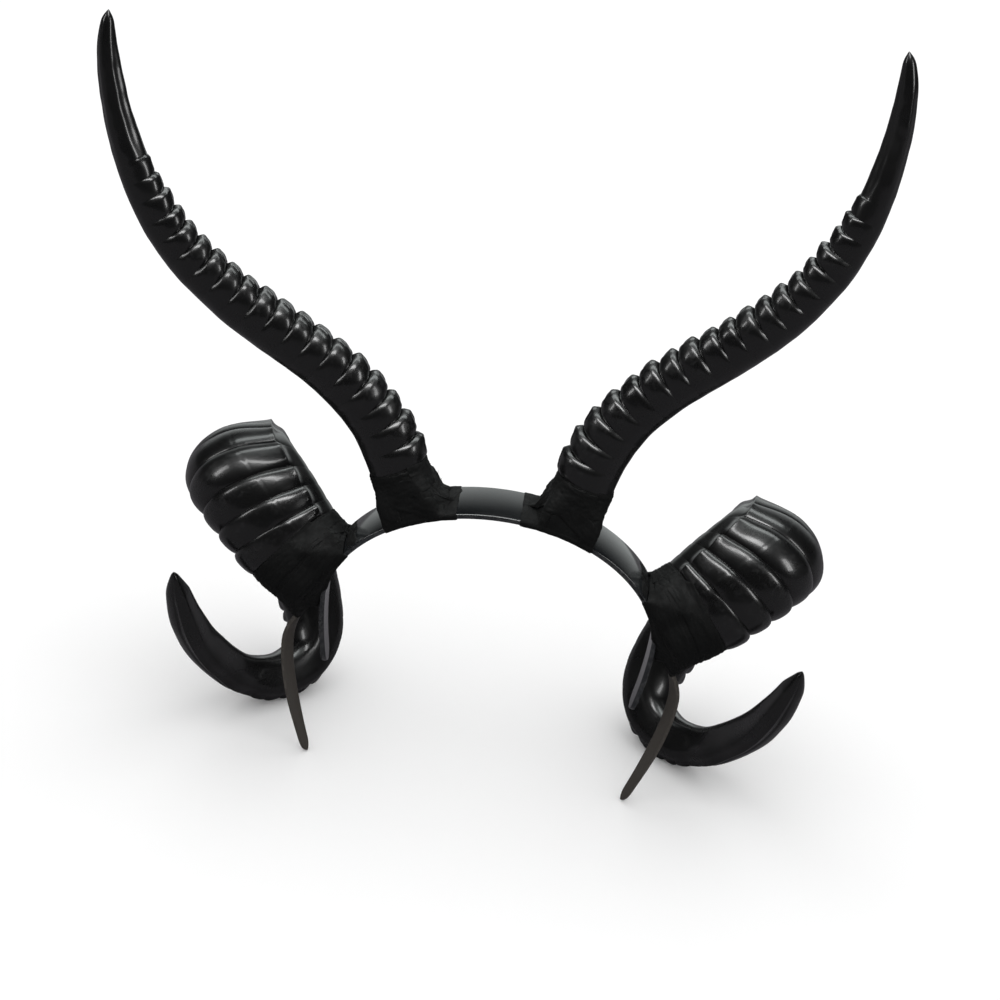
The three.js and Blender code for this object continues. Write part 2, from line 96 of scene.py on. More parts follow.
def grain(points: Array, size: float, seed: float) -> Array:
    """Smooth noise over space.

    Args:
        points: Places in millimetres, with the coordinates on the last axis.
        size: Width of one blot of the noise in millimetres.
        seed: Shifts the noise, so that two uses differ.

    Returns:
        One value between about -1 and 1 for each point.
    """
    flat = (points.reshape(-1, 3) / size + seed).tolist()
    values = np.array([noise.noise(Vector(p)) for p in flat])
    return values.reshape(points.shape[:-1])


def table_value(keys: Array, values: Array, x: Array) -> Array:
    """Reads a table on a smooth curve through its rows.

    Args:
        keys: The rows' keys, rising.
        values: The rows' values.
        x: Where to read.

    Returns:
        The value at each x.
    """
    last = len(keys) - 1
    i = np.clip(np.searchsorted(keys, x, side="left") - 1, 0, last - 1)
    before, after = np.maximum(i - 1, 0), np.minimum(i + 2, last)
    span = keys[i + 1] - keys[i]
    t = np.clip((x - keys[i]) / span, 0, 1)
    start = (values[i + 1] - values[before]) / (keys[i + 1] - keys[before]) * span
    end = (values[after] - values[i]) / (keys[after] - keys[i]) * span
    t2, t3 = t * t, t * t * t
    return (
        (2 * t3 - 3 * t2 + 1) * values[i]
        + (t3 - 2 * t2 + t) * start
        + (3 * t2 - 2 * t3) * values[i + 1]
        + (t3 - t2) * end
    )


@dataclass(frozen=True)
class Curve:
    """A smooth curve through points, spaced by the root of their distances."""

    points: Array

    def at(self, t: Array) -> Array:
        """Gives the points at shares t of the curve's spans.

        Args:
            t: Values from 0 to 1, with every span the same length.

        Returns:
            One point for each value.
        """
        p = self.points
        padded = np.vstack([2 * p[0] - p[1], p, 2 * p[-1] - p[-2]])
        place = np.asarray(t, float) * (len(p) - 1)
        i = np.clip(place.astype(int), 0, len(p) - 2)
        w = (place - i)[:, None]
        a, b, c, d = (padded[i + k] for k in range(4))
        gaps = [np.linalg.norm(v - u, axis=1)[:, None] ** 0.5 for u, v in ((a, b), (b, c), (c, d))]
        g0, g1, g2 = (np.maximum(g, 1e-6) for g in gaps)
        start = ((b - a) / g0 - (c - a) / (g0 + g1) + (c - b) / g1) * g1
        end = ((c - b) / g1 - (d - b) / (g1 + g2) + (d - c) / g2) * g1
        cubic = 2 * b - 2 * c + start + end
        square = -3 * b + 3 * c - 2 * start - end
        return b + start * w + square * w**2 + cubic * w**3


@dataclass(frozen=True)
class RestPose:
    """Where the band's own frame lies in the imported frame."""

    turn: Matrix
    shift: Vector

    @classmethod
    def from_seat(cls, seat: dict, inner_top: float) -> "RestPose":
        """Finds the pose from the seat under the crown.

        Args:
            seat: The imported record's mount under the middle of the band.
            inner_top: Height of that seat in the band's own frame, in millimetres.

        Returns:
            The pose.
        """
        turn = Matrix.Rotation(math.asin(seat["axis"][1]), 3, "X")
        return cls(turn, Vector(seat["pos_m"]) - turn @ Vector((0, 0, inner_top * MM)))

    def place(self, points: Array) -> Array:
        """Turns points in the band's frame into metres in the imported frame."""
        turn = np.array(self.turn)
        return points @ turn.T * MM + np.array(self.shift)

    def back(self, points: Array) -> Array:
        """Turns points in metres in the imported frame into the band's frame."""
        return (points - np.array(self.shift)) @ np.array(self.turn) / MM


@dataclass(frozen=True)
class Skin:
    """A grid of points that becomes one mesh, with what its material reads."""

    rings: Array
    masks: dict[str, Array] | None = None
    across: Array | None = None
    along: Array | None = None

    def cells(self) -> tuple[Array, Array]:
        """Gives the row and column of each of the grid's cells."""
        rows, columns = self.rings.shape[:2]
        return np.meshgrid(np.arange(rows - 1), np.arange(columns), indexing="ij")

    def faces(self) -> Array:
        """Gives the corner numbers of the grid's four-sided faces."""
        columns = self.rings.shape[1]
        r, c = self.cells()
        nxt = (c + 1) % columns
        quads = [r * columns + c, r * columns + nxt, (r + 1) * columns + nxt, (r + 1) * columns + c]
        return np.stack(quads, -1).reshape(-1, 4)

    def uv(self) -> Array:
        """Gives a place in millimetres over the skin for each face corner."""
        rows, columns = self.rings.shape[:2]
        r, c = self.cells()
        across = self.across if self.across is not None else np.arange(columns + 1.0)
        along = self.along if self.along is not None else np.arange(float(rows))
        corners = [(r, c), (r, c + 1), (r + 1, c + 1), (r + 1, c)]
        return np.stack([np.stack([across[b], along[a]], -1) for a, b in corners], 2).reshape(-1, 2)


def add_object(
    name: str, verts: Array, faces: list, material: bpy.types.Material
) -> bpy.types.Object:
    """Makes a smooth shaded mesh object.

    Args:
        name: The piece's name.
        verts: Its points in metres.
        faces: Corner numbers of each face.
        material: Its finish.

    Returns:
        The new object, linked to the scene.
    """
    mesh = bpy.data.meshes.new(name)
    mesh.from_pydata(verts.tolist(), [], faces)
    mesh.shade_smooth()
    mesh.materials.append(material)
    mesh.update()
    piece = bpy.data.objects.new(name, mesh)
    bpy.context.scene.collection.objects.link(piece)
    return piece


def skin_object(
    name: str, skin: Skin, pose: RestPose, material: bpy.types.Material
) -> bpy.types.Object:
    """Makes a closed piece from a skin.

    Args:
        name: The piece's name.
        skin: Its rings of points in the band's frame.
        pose: Where that frame lies.
        material: Its finish.

    Returns:
        The new object.
    """
    rows, columns = skin.rings.shape[:2]
    quads = skin.faces()
    hubs = np.stack([skin.rings[0].mean(0), skin.rings[-1].mean(0)])
    points = np.vstack([skin.rings.reshape(-1, 3), hubs])
    step = np.arange(columns)
    nxt = (step + 1) % columns
    last = (rows - 1) * columns
    faces = quads.tolist()
    faces += [(int(b), int(a), rows * columns) for a, b in zip(step, nxt)]
    faces += [(int(a), int(b), rows * columns + 1) for a, b in zip(last + step, last + nxt)]
    flipped = inside_out(points, quads)
    if flipped:
        faces = [face[::-1] for face in faces]
    piece = add_object(name, pose.place(points), faces, material)
    mesh = piece.data
    layer = mesh.uv_layers.new(name="skin_mm")
    uv = skin.uv().reshape(-1, 4, 2)
    uv = uv[:, ::-1] if flipped else uv
    full = np.zeros((len(mesh.loops), 2))
    full[: uv.size // 2] = uv.reshape(-1, 2)
    layer.data.foreach_set("uv", full.ravel())
    for mask, values in (skin.masks or {}).items():
        attribute = mesh.attributes.new(mask, "FLOAT", "POINT")
        spread = np.zeros(len(points))
        spread[: values.size] = values.ravel()
        attribute.data.foreach_set("value", spread)
    return piece


def inside_out(points: Array, quads: Array) -> bool:
    """Tells whether a surface's faces turn their backs outwards."""
    a, b, c, d = (points[quads[:, k]] for k in range(4))
    volume = np.einsum("ij,ij->i", np.cross(a, b), c) + np.einsum("ij,ij->i", np.cross(a, c), d)
    return float(volume.sum()) < 0


@dataclass(frozen=True)
class NodeKit:
    """Short ways to add and join nodes in one node tree."""

    tree: bpy.types.NodeTree

    def add(self, kind: str, **settings: object) -> bpy.types.Node:
        """Adds a node and sets its fields, or its inputs where no field has that name.

        Args:
            kind: Blender's name for the node type.
            settings: Values by name; an underscore in an input's name stands for a space.

        Returns:
            The node.
        """
        node = self.tree.nodes.new(kind)
        for key, value in settings.items():
            if hasattr(node, key):
                setattr(node, key, value)
            else:
                node.inputs[key.replace("_", " ")].default_value = value
        return node

    def join(self, source: bpy.types.NodeSocket, target: bpy.types.NodeSocket) -> None:
        """Links an output to an input."""
        self.tree.links.new(source, target)

    def maths(self, operation: str, a: object, b: object = 0.0) -> bpy.types.NodeSocket:
        """Adds an operation on two numbers or sockets.

        Args:
            operation: Blender's name for the operation.
            a: The first number or socket.
            b: The second number or socket.

        Returns:
            The result's socket.
        """
        node = self.add("ShaderNodeMath", operation=operation)
        for value, socket in ((a, node.inputs[0]), (b, node.inputs[1])):
            if isinstance(value, bpy.types.NodeSocket):
                self.join(value, socket)
            else:
                socket.default_value = value
        return node.outputs[0]

    def between(self, value: bpy.types.NodeSocket, low: float, high: float) -> bpy.types.NodeSocket:
        """Maps a value from 0..1 to low..high."""
        node = self.add("ShaderNodeMapRange", To_Min=low, To_Max=high)
        self.join(value, node.inputs["Value"])
        return node.outputs["Result"]

    def ramp(self, value: bpy.types.NodeSocket, span: tuple, levels: tuple) -> bpy.types.NodeSocket:
        """Maps a value smoothly from a span to two levels."""
        node = self.add("ShaderNodeMapRange", interpolation_type="SMOOTHSTEP")
        names = ("From Min", "From Max", "To Min", "To Max")
        for name, number in zip(names, (*span, *levels)):
            node.inputs[name].default_value = number
        self.join(value, node.inputs["Value"])
        return node.outputs["Result"]

    def colours(self, factor: bpy.types.NodeSocket, a: tuple, b: tuple) -> bpy.types.NodeSocket:
        """Mixes two colours by a factor."""
        node = self.add("ShaderNodeMix", data_type="RGBA")
        self.join(factor, node.inputs[0])
        node.inputs[6].default_value = (*a, 1)
        node.inputs[7].default_value = (*b, 1)
        return node.outputs[2]


class GroupMaker:
    """Builds each shared shader effect once."""

    def __init__(self) -> None:
        """Starts with no group built."""
        self.built: dict[str, bpy.types.NodeTree] = {}

    def group(self, name: str, inputs: dict, outputs: tuple, fill: Callable) -> bpy.types.NodeTree:
        """Gives a node group, built the first time it is asked for.

        Args:
            name: The group's name.
            inputs: Socket kind and default by socket name.
            outputs: Names of the number outputs.
            fill: Adds the nodes between the group's input and output nodes.

        Returns:
            The group.
        """
        if name in self.built:
            return self.built[name]
        tree = bpy.data.node_groups.new(name, "ShaderNodeTree")
        for label, (kind, default) in inputs.items():
            socket = tree.interface.new_socket(label, in_out="INPUT", socket_type=kind)
            if default is not None:
                socket.default_value = default
        for label in outputs:
            tree.interface.new_socket(label, in_out="OUTPUT", socket_type="NodeSocketFloat")
        kit = NodeKit(tree)
        fill(kit, kit.add("NodeGroupInput").outputs, kit.add("NodeGroupOutput").inputs)
        self.built[name] = tree
        return tree

    def moulding(self) -> bpy.types.NodeTree:
        """The faint unevenness of a cast plastic face, with hand smudges on its gloss."""
        number = "NodeSocketFloat"
        inputs = {
            "Place": ("NodeSocketVector", None),
            "Ripples": (number, 160.0),
            "Smudges": (number, 45.0),
            "Pores": (number, 1800.0),
        }

        def fill(kit: NodeKit, given: object, result: object) -> None:
            """Adds the nodes."""
            ripple = kit.add("ShaderNodeTexNoise", Detail=3.0, Roughness=0.5)
            smudge = kit.add("ShaderNodeTexNoise", Detail=5.0, Roughness=0.62)
            pores = kit.add("ShaderNodeTexNoise", Detail=2.0, Roughness=0.6)
            for node, scale in ((ripple, "Ripples"), (smudge, "Smudges"), (pores, "Pores")):
                kit.join(given["Place"], node.inputs["Vector"])
                kit.join(given[scale], node.inputs["Scale"])
            small = kit.maths("MULTIPLY", pores.outputs["Fac"], 0.06)
            kit.join(kit.maths("ADD", ripple.outputs["Fac"], small), result["Height"])
            kit.join(kit.ramp(smudge.outputs["Fac"], (0.36, 0.66), (0, 1)), result["Smudge"])

        return self.group("moulded_face", inputs, ("Height", "Smudge"), fill)

    def wear(self) -> bpy.types.NodeTree:
        """Rubbed high places: a mask broken up by fine scratches."""
        inputs = {
            "Place": ("NodeSocketVector", None),
            "High Places": ("NodeSocketFloat", 0.0),
            "Scratches": ("NodeSocketFloat", 420.0),
        }

        def fill(kit: NodeKit, given: object, result: object) -> None:
            """Adds the nodes."""
            scratch = kit.add("ShaderNodeTexNoise", Detail=4.0, Roughness=0.7, Distortion=0.6)
            kit.join(given["Place"], scratch.inputs["Vector"])
            kit.join(given["Scratches"], scratch.inputs["Scale"])
            broken = kit.maths("MULTIPLY", scratch.outputs["Fac"], given["High Places"])
            kit.join(kit.ramp(broken, (0.42, 0.62), (0, 1)), result["Wear"])

        return self.group("rubbed_edges", inputs, ("Wear",), fill)

    def weave(self) -> bpy.types.NodeTree:
        """A plain weave over a place given in millimetres."""
        inputs = {
            "Place": ("NodeSocketVector", None),
            "Threads": ("NodeSocketFloat", 9.0),
        }

        def fill(kit: NodeKit, given: object, result: object) -> None:
            """Adds the nodes."""
            apart = kit.add("ShaderNodeSeparateXYZ")
            kit.join(given["Place"], apart.inputs[0])
            waves = []
            for axis in ("X", "Y"):
                turn = kit.maths("MULTIPLY", apart.outputs[axis], given["Threads"])
                waves.append(kit.maths("SINE", turn))
            over = kit.maths("MULTIPLY", waves[0], waves[1])
            ridge = kit.maths("ABSOLUTE", kit.maths("ADD", waves[0], waves[1]))
            crossing = kit.maths("MULTIPLY", over, 0.5)
            kit.join(kit.maths("ADD", crossing, kit.maths("MULTIPLY", ridge, 0.3)), result["Height"])
            kit.join(kit.maths("ADD", crossing, 0.5), result["Over"])

        return self.group("cloth_weave", inputs, ("Height", "Over"), fill)


def start_material(name: str) -> tuple[bpy.types.Material, NodeKit, bpy.types.Node]:
    """Makes an empty material with a Principled shader.

    Args:
        name: The material's name.

    Returns:
        The material, a kit for its nodes and its Principled node.
    """
    material = bpy.data.materials.new(name)
    material.use_nodes = True
    kit = NodeKit(material.node_tree)
    return material, kit, material.node_tree.nodes["Principled BSDF"]


def put_group(
    kit: NodeKit, tree: bpy.types.NodeTree, place: bpy.types.NodeSocket, **values: float
) -> bpy.types.Node:
    """Places a shared group in a material.

    Args:
        kit: The material's kit.
        tree: The group.
        place: Where on the piece, for its Place input.
        values: Its other inputs by name, with an underscore for a space.

    Returns:
        The group's node.
    """
    node = kit.add("ShaderNodeGroup", node_tree=tree)
    kit.join(place, node.inputs["Place"])
    for key, value in values.items():
        node.inputs[key.replace("_", " ")].default_value = value
    return node


def put_bump(
    kit: NodeKit, shader: bpy.types.Node, height: object, strength: float, depth_mm: float
) -> None:
    """Feeds a height to the shader's normal.

    Args:
        kit: The material's kit.
        shader: The Principled node.
        height: The height's socket.
        strength: Share of the bump that shows.
        depth_mm: Depth of the relief in millimetres.
    """
    bump = kit.add("ShaderNodeBump", Strength=strength, Distance=depth_mm * MM)
    kit.join(height, bump.inputs["Height"])
    kit.join(bump.outputs["Normal"], shader.inputs["Normal"])


@dataclass(frozen=True)
class MouldedPlastic:
    """A cast plastic: its colours, gloss and relief."""

    name: str
    colour: tuple[float, float, float]
    rubbed: tuple[float, float, float]
    gloss_from: float
    gloss_to: float
    coat: float
    coat_roughness: float
    specular: float
    relief_mm: float
    ripples: float

    def build(self, groups: GroupMaker) -> bpy.types.Material:
        """Makes the material.

        Args:
            groups: The shared effects.

        Returns:
            The material.
        """
        material, kit, shader = start_material(self.name)
        place = kit.add("ShaderNodeTexCoord").outputs["Object"]
        face = put_group(kit, groups.moulding(), place, Ripples=self.ripples)
        high = kit.add("ShaderNodeAttribute", attribute_name="crest").outputs["Fac"]
        wear = put_group(kit, groups.wear(), place)
        kit.join(high, wear.inputs["High Places"])
        colour = kit.colours(wear.outputs["Wear"], self.colour, self.rubbed)
        kit.join(colour, shader.inputs["Base Color"])
        gloss = kit.between(face.outputs["Smudge"], self.gloss_from, self.gloss_to)
        rough = kit.maths("ADD", gloss, kit.maths("MULTIPLY", wear.outputs["Wear"], 0.12))
        kit.join(rough, shader.inputs["Roughness"])
        coat = kit.between(face.outputs["Smudge"], self.coat, self.coat * 0.85)
        kit.join(coat, shader.inputs["Coat Weight"])
        shader.inputs["Coat Roughness"].default_value = self.coat_roughness
        shader.inputs["Specular IOR Level"].default_value = self.specular
        put_bump(kit, shader, face.outputs["Height"], 0.6, self.relief_mm)
        return material


@dataclass(frozen=True)
class ClothTape:
    """Black cloth tape: its two thread colours, its weave and its creases."""

    name: str = "cloth_tape_black"
    thread: tuple[float, float, float] = (0.0022, 0.0029, 0.0028)
    gap: tuple[float, float, float] = (0.0009, 0.0011, 0.0011)
    threads: float = 9.0
    roughness: float = 0.72
    sheen: float = 0.01

    def build(self, groups: GroupMaker) -> bpy.types.Material:
        """Makes the material.

        Args:
            groups: The shared effects.

        Returns:
            The material.
        """
        material, kit, shader = start_material(self.name)
        over_skin = kit.add("ShaderNodeUVMap", uv_map="skin_mm").outputs["UV"]
        place = kit.add("ShaderNodeTexCoord").outputs["Object"]
        weave = put_group(kit, groups.weave(), over_skin, Threads=self.threads)
        face = put_group(kit, groups.moulding(), place, Ripples=260.0, Smudges=120.0)
        colour = kit.colours(weave.outputs["Over"], self.gap, self.thread)
        kit.join(colour, shader.inputs["Base Color"])
        smudge = face.outputs["Smudge"]
        rough = kit.between(smudge, self.roughness - 0.14, self.roughness + 0.1)
        kit.join(rough, shader.inputs["Roughness"])
        shader.inputs["Specular IOR Level"].default_value = 0.16
        shader.inputs["Sheen Weight"].default_value = self.sheen
        woven = kit.maths("MULTIPLY", weave.outputs["Height"], 0.35)
        put_bump(kit, shader, kit.maths("ADD", woven, face.outputs["Height"]), 0.7, 0.16)
        return material


@dataclass(frozen=True)
class BandForm:
    """The wide band: half of an ellipse over the head, then an arm down each side."""

    half_span: float = 77.5
    rise: float = 58.0
    arm_length: float = 40.0
    arm_tuck: float = 4.0
    width: float = 26.0
    end_width: float = 12.0
    thickness: float = 2.4
    crowning: float = 0.8
    edge: float = 0.7

    @property
    def arch(self) -> float:
        """Length of half the arch along the middle line."""
        across, up = self.half_span - self.thickness / 2, self.rise - self.thickness / 2
        return math.pi / 2 * math.sqrt((across**2 + up**2) / 2)

    @property
    def run(self) -> float:
        """Length of the middle line from the crown to one end."""
        return self.arch + self.arm_length

    @property
    def seat(self) -> float:
        """Height of the outer face's middle over the middle line."""
        return self.thickness / 2 + self.crowning

    def point(self, q: Array) -> Array:
        """Gives the middle line's points, with q from -1 at the left end to 1 at the right."""
        q = np.asarray(q, float)
        across, up = self.half_span - self.thickness / 2, self.rise - self.thickness / 2
        run = np.abs(q) * self.run
        angle = np.minimum(run / self.arch, 1) * math.pi / 2
        down = np.maximum(run - self.arch, 0) / self.arm_length
        x = across * np.sin(angle) - self.arm_tuck * down**2
        z = up * np.cos(angle) - self.rise - self.arm_length * down
        return np.stack([np.sign(q) * x, np.zeros_like(x), z], -1)

    def outward(self, q: Array) -> Array:
        """Gives the direction away from the head at each q."""
        step = 1e-3
        along = self.point(np.asarray(q) + step) - self.point(np.asarray(q) - step)
        return unit(np.stack([-along[..., 2], np.zeros_like(along[..., 0]), along[..., 0]], -1))

    def half_width(self, q: Array) -> Array:
        """Gives half the band's width at each q."""
        narrowing = smoothstep(np.abs(q), 0.45, 1)
        return (self.width + (self.end_width - self.width) * narrowing) / 2

    def at_x(self, x: float) -> float:
        """Finds the q on the arch at a distance x from the middle."""
        q = np.linspace(0, self.arch / self.run, 4000)
        return math.copysign(float(np.interp(abs(x), self.point(q)[:, 0], q)), x)

    def at_drop(self, drop: float, side: Side) -> float:
        """Finds the q on one side at a drop below the crown."""
        q = np.linspace(0, 1, 4000)
        return side.value * float(np.interp(drop, -self.point(q)[:, 2], q))


@dataclass(frozen=True)
class ArmForm:
    """The middle line and strip sizes of a narrow side arm."""

    half_span: float = 91.0
    tip_half_span: float = 76.0
    start_drop: float = 58.0
    widest_drop: float = 90.0
    tip_drop: float = 146.0
    tip_forward: float = 8.0
    width: float = 7.0
    thickness: float = 2.2
    twist: float = 35.0
    gap: float = 0.3

    def line(self, side: Side, band: BandForm, count: int) -> Array:
        """Gives evenly spaced points of the middle line from the band to the tip.

        Args:
            side: Which arm.
            band: The band that it starts on.
            count: How many points.

        Returns:
            The points.
        """
        q = band.at_drop(self.start_drop, side)
        off = band.seat + self.gap + self.thickness / 2
        start = band.point(q) + band.outward(q) * off
        widest = np.array([side.value * self.half_span, 0, -self.widest_drop])
        tip = np.array([side.value * self.tip_half_span, -self.tip_forward, -self.tip_drop])
        fall = start[2] - widest[2]
        near_tip = tip + (widest - tip) * [0.42, 0.3, 0.3]
        upper = (start, start - [0, 0, fall * 0.25], widest + [0, 0, fall * 0.45], widest)
        lower = (widest, widest + [0, 0, (tip[2] - widest[2]) * 0.35], near_tip, tip)
        u = np.linspace(0, 1, 500)[:, None]
        spans = [
            (1 - u) ** 3 * a + 3 * (1 - u) ** 2 * u * b + 3 * (1 - u) * u**2 * c + u**3 * d
            for a, b, c, d in (upper, lower)
        ]
        dense = np.vstack([spans[0], spans[1][1:]])
        run = np.r_[0, np.cumsum(np.linalg.norm(np.diff(dense, axis=0), axis=1))]
        wanted = np.linspace(0, run[-1], count)
        return np.stack([np.interp(wanted, run, dense[:, k]) for k in range(3)], -1)


def rounded_outline(
    half: float, low: float, high: float, edge: float, crown: float, steps: int
) -> Array:
    """Draws a strip's section with round edges and a crowned top.

    Args:
        half: Half the strip's width.
        low: Height of the flat face.
        high: Height of the top's shoulders.
        edge: Radius of the edges.
        crown: Extra height in the middle of the top.
        steps: Points along each flat.

    Returns:
        Points as (across, height), once round.
    """
    edge = min(edge, (high - low) / 2, half)
    turn = np.linspace(0, math.pi / 2, 6)
    corners = [
        (half - edge, low + edge, -math.pi / 2),
        (half - edge, high - edge, 0.0),
        (-half + edge, high - edge, math.pi / 2),
        (-half + edge, low + edge, math.pi),
    ]
    points: list[list[float]] = []
    for k, (x, y, start) in enumerate(corners):
        points += [[x + edge * math.cos(start + a), y + edge * math.sin(start + a)] for a in turn]
        if k in (1, 3):
            span = np.linspace(1, -1, steps + 2)[1:-1] * (half - edge)
            rise = crown * (1 - np.linspace(-1, 1, steps + 2)[1:-1] ** 2) if k == 1 else np.zeros(steps)
            level = high if k == 1 else low
            across = span if k == 1 else -span
            points += np.stack([across, level + rise], -1).tolist()
    return np.array(points)


@dataclass
class HeadBand:
    """The wide glossy band over the head."""

    form: BandForm
    pose: RestPose
    steps: int = 220
    flat_points: int = 14
    end_rounding: float = 6.0
    end_crowding: float = 0.35

    def skin(self) -> Skin:
        """Lays the section along the band, drawn in to a round end on each side.

        Returns:
            The band's skin.
        """
        form = self.form
        q = np.sin(np.linspace(-math.pi / 2, math.pi / 2, self.steps))
        q = self.end_crowding * q + (1 - self.end_crowding) * np.linspace(-1, 1, self.steps)
        rings, crest = [], []
        for share in q:
            to_end = np.clip((1 - abs(share)) * form.run / self.end_rounding, 0.02, 1)
            half = float(form.half_width(share)) * math.sqrt(1 - (1 - to_end) ** 2)
            thick = form.thickness / 2
            outline = rounded_outline(half, -thick, thick, form.edge, form.crowning, self.flat_points)
            ring = form.point(share) + outline[:, 1:] * form.outward(share)
            ring[:, 1] = outline[:, 0]
            rings.append(ring)
            crest.append(smoothstep(np.abs(outline[:, 0]), half * 0.9, half))
        rings = np.array(rings)
        return Skin(rings, masks={"crest": np.array(crest)})

    def build(self, finish: bpy.types.Material) -> bpy.types.Object:
        """Makes the band and sets it in place of its solid."""
        piece = skin_object("dressed_band", self.skin(), self.pose, finish)
        settle(piece, "head_band")
        return piece


@dataclass
class SideArm:
    """A narrow arm that runs down beside the face and ends in a round tip."""

    form: ArmForm
    band: BandForm
    side: Side
    pose: RestPose
    steps: int = 150
    flat_points: int = 6
    edge: float = 0.75
    crowning: float = 0.25
    tip_taper: float = 0.3
    taper_from: float = 0.62
    end_rounding: float = 0.9

    def skin(self) -> Skin:
        """Lays the strip's section along its line, turning its face forward.

        Returns:
            The arm's skin.
        """
        form, sign = self.form, self.side.value
        line = form.line(self.side, self.band, self.steps)
        tangents = unit(np.gradient(line, axis=0))
        length = float(np.linalg.norm(np.diff(line, axis=0), axis=1).sum())
        rings, crest = [], []
        for k, (centre, tangent) in enumerate(zip(line, tangents)):
            share = k / (self.steps - 1)
            twist = math.radians(form.twist) * float(smoothstep(share, 0, 0.4))
            back = np.array([-sign * math.sin(twist), math.cos(twist), 0])
            back = unit(back - tangent * back.dot(tangent))
            out = np.cross(tangent, back)
            to_end = length * (1 - share) / (form.width * self.end_rounding)
            to_end = min(1.0, max(0.02, to_end))
            taper = 1 - self.tip_taper * float(smoothstep(share, self.taper_from, 1))
            half = form.width / 2 * taper * math.sqrt(1 - (1 - to_end) ** 2)
            thick = form.thickness / 2
            outline = rounded_outline(half, -thick, thick, self.edge, self.crowning, self.flat_points)
            rings.append(centre + outline[:, :1] * back + outline[:, 1:] * out)
            crest.append(smoothstep(np.abs(outline[:, 0]), half * 0.8, half))
        return Skin(np.array(rings), masks={"crest": np.array(crest)})

    def build(self, finish: bpy.types.Material) -> bpy.types.Object:
        """Makes the arm and sets it in place of its solid."""
        word = self.side.word
        piece = skin_object(f"dressed_arm_{word}", self.skin(), self.pose, finish)
        settle(piece, f"side_arm_{word}")
        return piece


@dataclass(frozen=True)
class Stations:
    """Places along a horn's spine with the section's axes and half sizes there."""

    run: Array
    centre: Array
    tangent: Array
    first: Array
    second: Array
    wide: Array
    deep: Array

    def at(self, run: Array) -> "Stations":
        """Reads the spine at other distances along it."""

        def read(values: Array) -> Array:
            """Reads one of the spine's values."""
            if values.ndim == 1:
                return np.interp(run, self.run, values)
            return np.stack([np.interp(run, self.run, values[:, k]) for k in range(3)], -1)

        return Stations(
            run,
            read(self.centre),
            unit(read(self.tangent)),
            unit(read(self.first)),
            unit(read(self.second)),
            read(self.wide),
            read(self.deep),
        )


@dataclass(frozen=True)
class RingPlan:
    """How a horn's raised rings are spread along it and shaped.

    They run from start to end and lie closer towards the tip by closing, and the last fading of them
    grow low. Each rises to its crest by fullness and steepness. Jitter moves their edges at random.
    """

    count: int
    start: float
    end: float
    closing: float
    samples: int
    fading: float
    crest: float
    fullness: float
    steepness: float
    jitter: float
    seed: int

    def runs(self, length: float, root: int, tip: int) -> tuple[Array, Array, Array]:
        """Gives where the horn is cut, how far round its ring each cut is, and the ring's height.

        Args:
            length: The horn's length.
            root: Cuts in the smooth root.
            tip: Cuts in the smooth end.

        Returns:
            Distances along the horn, the place within a ring from 0 to 1, and the raised height.
        """
        rng = np.random.default_rng(self.seed)
        wobble = rng.uniform(-self.jitter, self.jitter, self.count + 1)
        wobble[[0, -1]] = 0
        tall = 1 + rng.uniform(-0.14, 0.1, self.count)
        runs = list(np.linspace(0, self.start, root, endpoint=False))
        phase = [0.0] * root
        height = [0.0] * root
        within = (1 - np.cos(np.pi * np.arange(self.samples) / self.samples)) / 2
        for ring in range(self.count):
            low, high = (self.place(ring + k) + wobble[ring + k] for k in (0, 1))
            fade = min(1.0, (self.count - ring) / self.fading)
            runs += list(low + (high - low) * within)
            phase += list(within)
            height += list(fade * tall[ring] * self.profile(within))
        share = np.linspace(0, 1, tip)
        runs += list(self.end + (length - self.end) * (1 - (1 - share) ** 1.6))
        return np.array(runs), np.array(phase + [0.0] * tip), np.array(height + [0.0] * tip)

    def profile(self, within: Array) -> Array:
        """Gives a ring's height from its lower groove to its upper one, full at its crest."""
        below = 1 - within / self.crest
        above = (within - self.crest) / (1 - self.crest)
        away = np.where(within < self.crest, below, above).clip(0, 1)
        return (1 - away**self.fullness) ** self.steepness

    def place(self, ring: float) -> float:
        """Gives the distance along the horn at which a ring starts."""
        share = ring / self.count
        eased = share * (1 + self.closing) - self.closing * share**2
        return self.start + (self.end - self.start) * eased


def round_end(runs: Array, length: float, reach: float) -> Array:
    """Draws a horn's size in to a round end over the last few millimetres."""
    to_end = np.clip((length - runs) / reach, 0.004, 1)
    return np.sqrt(1 - (1 - to_end) ** 2)


def within_ring(phase: Array) -> Array:
    """Rises from 0 in the grooves to 1 at the middle of each ring."""
    return np.sin(np.pi * phase)


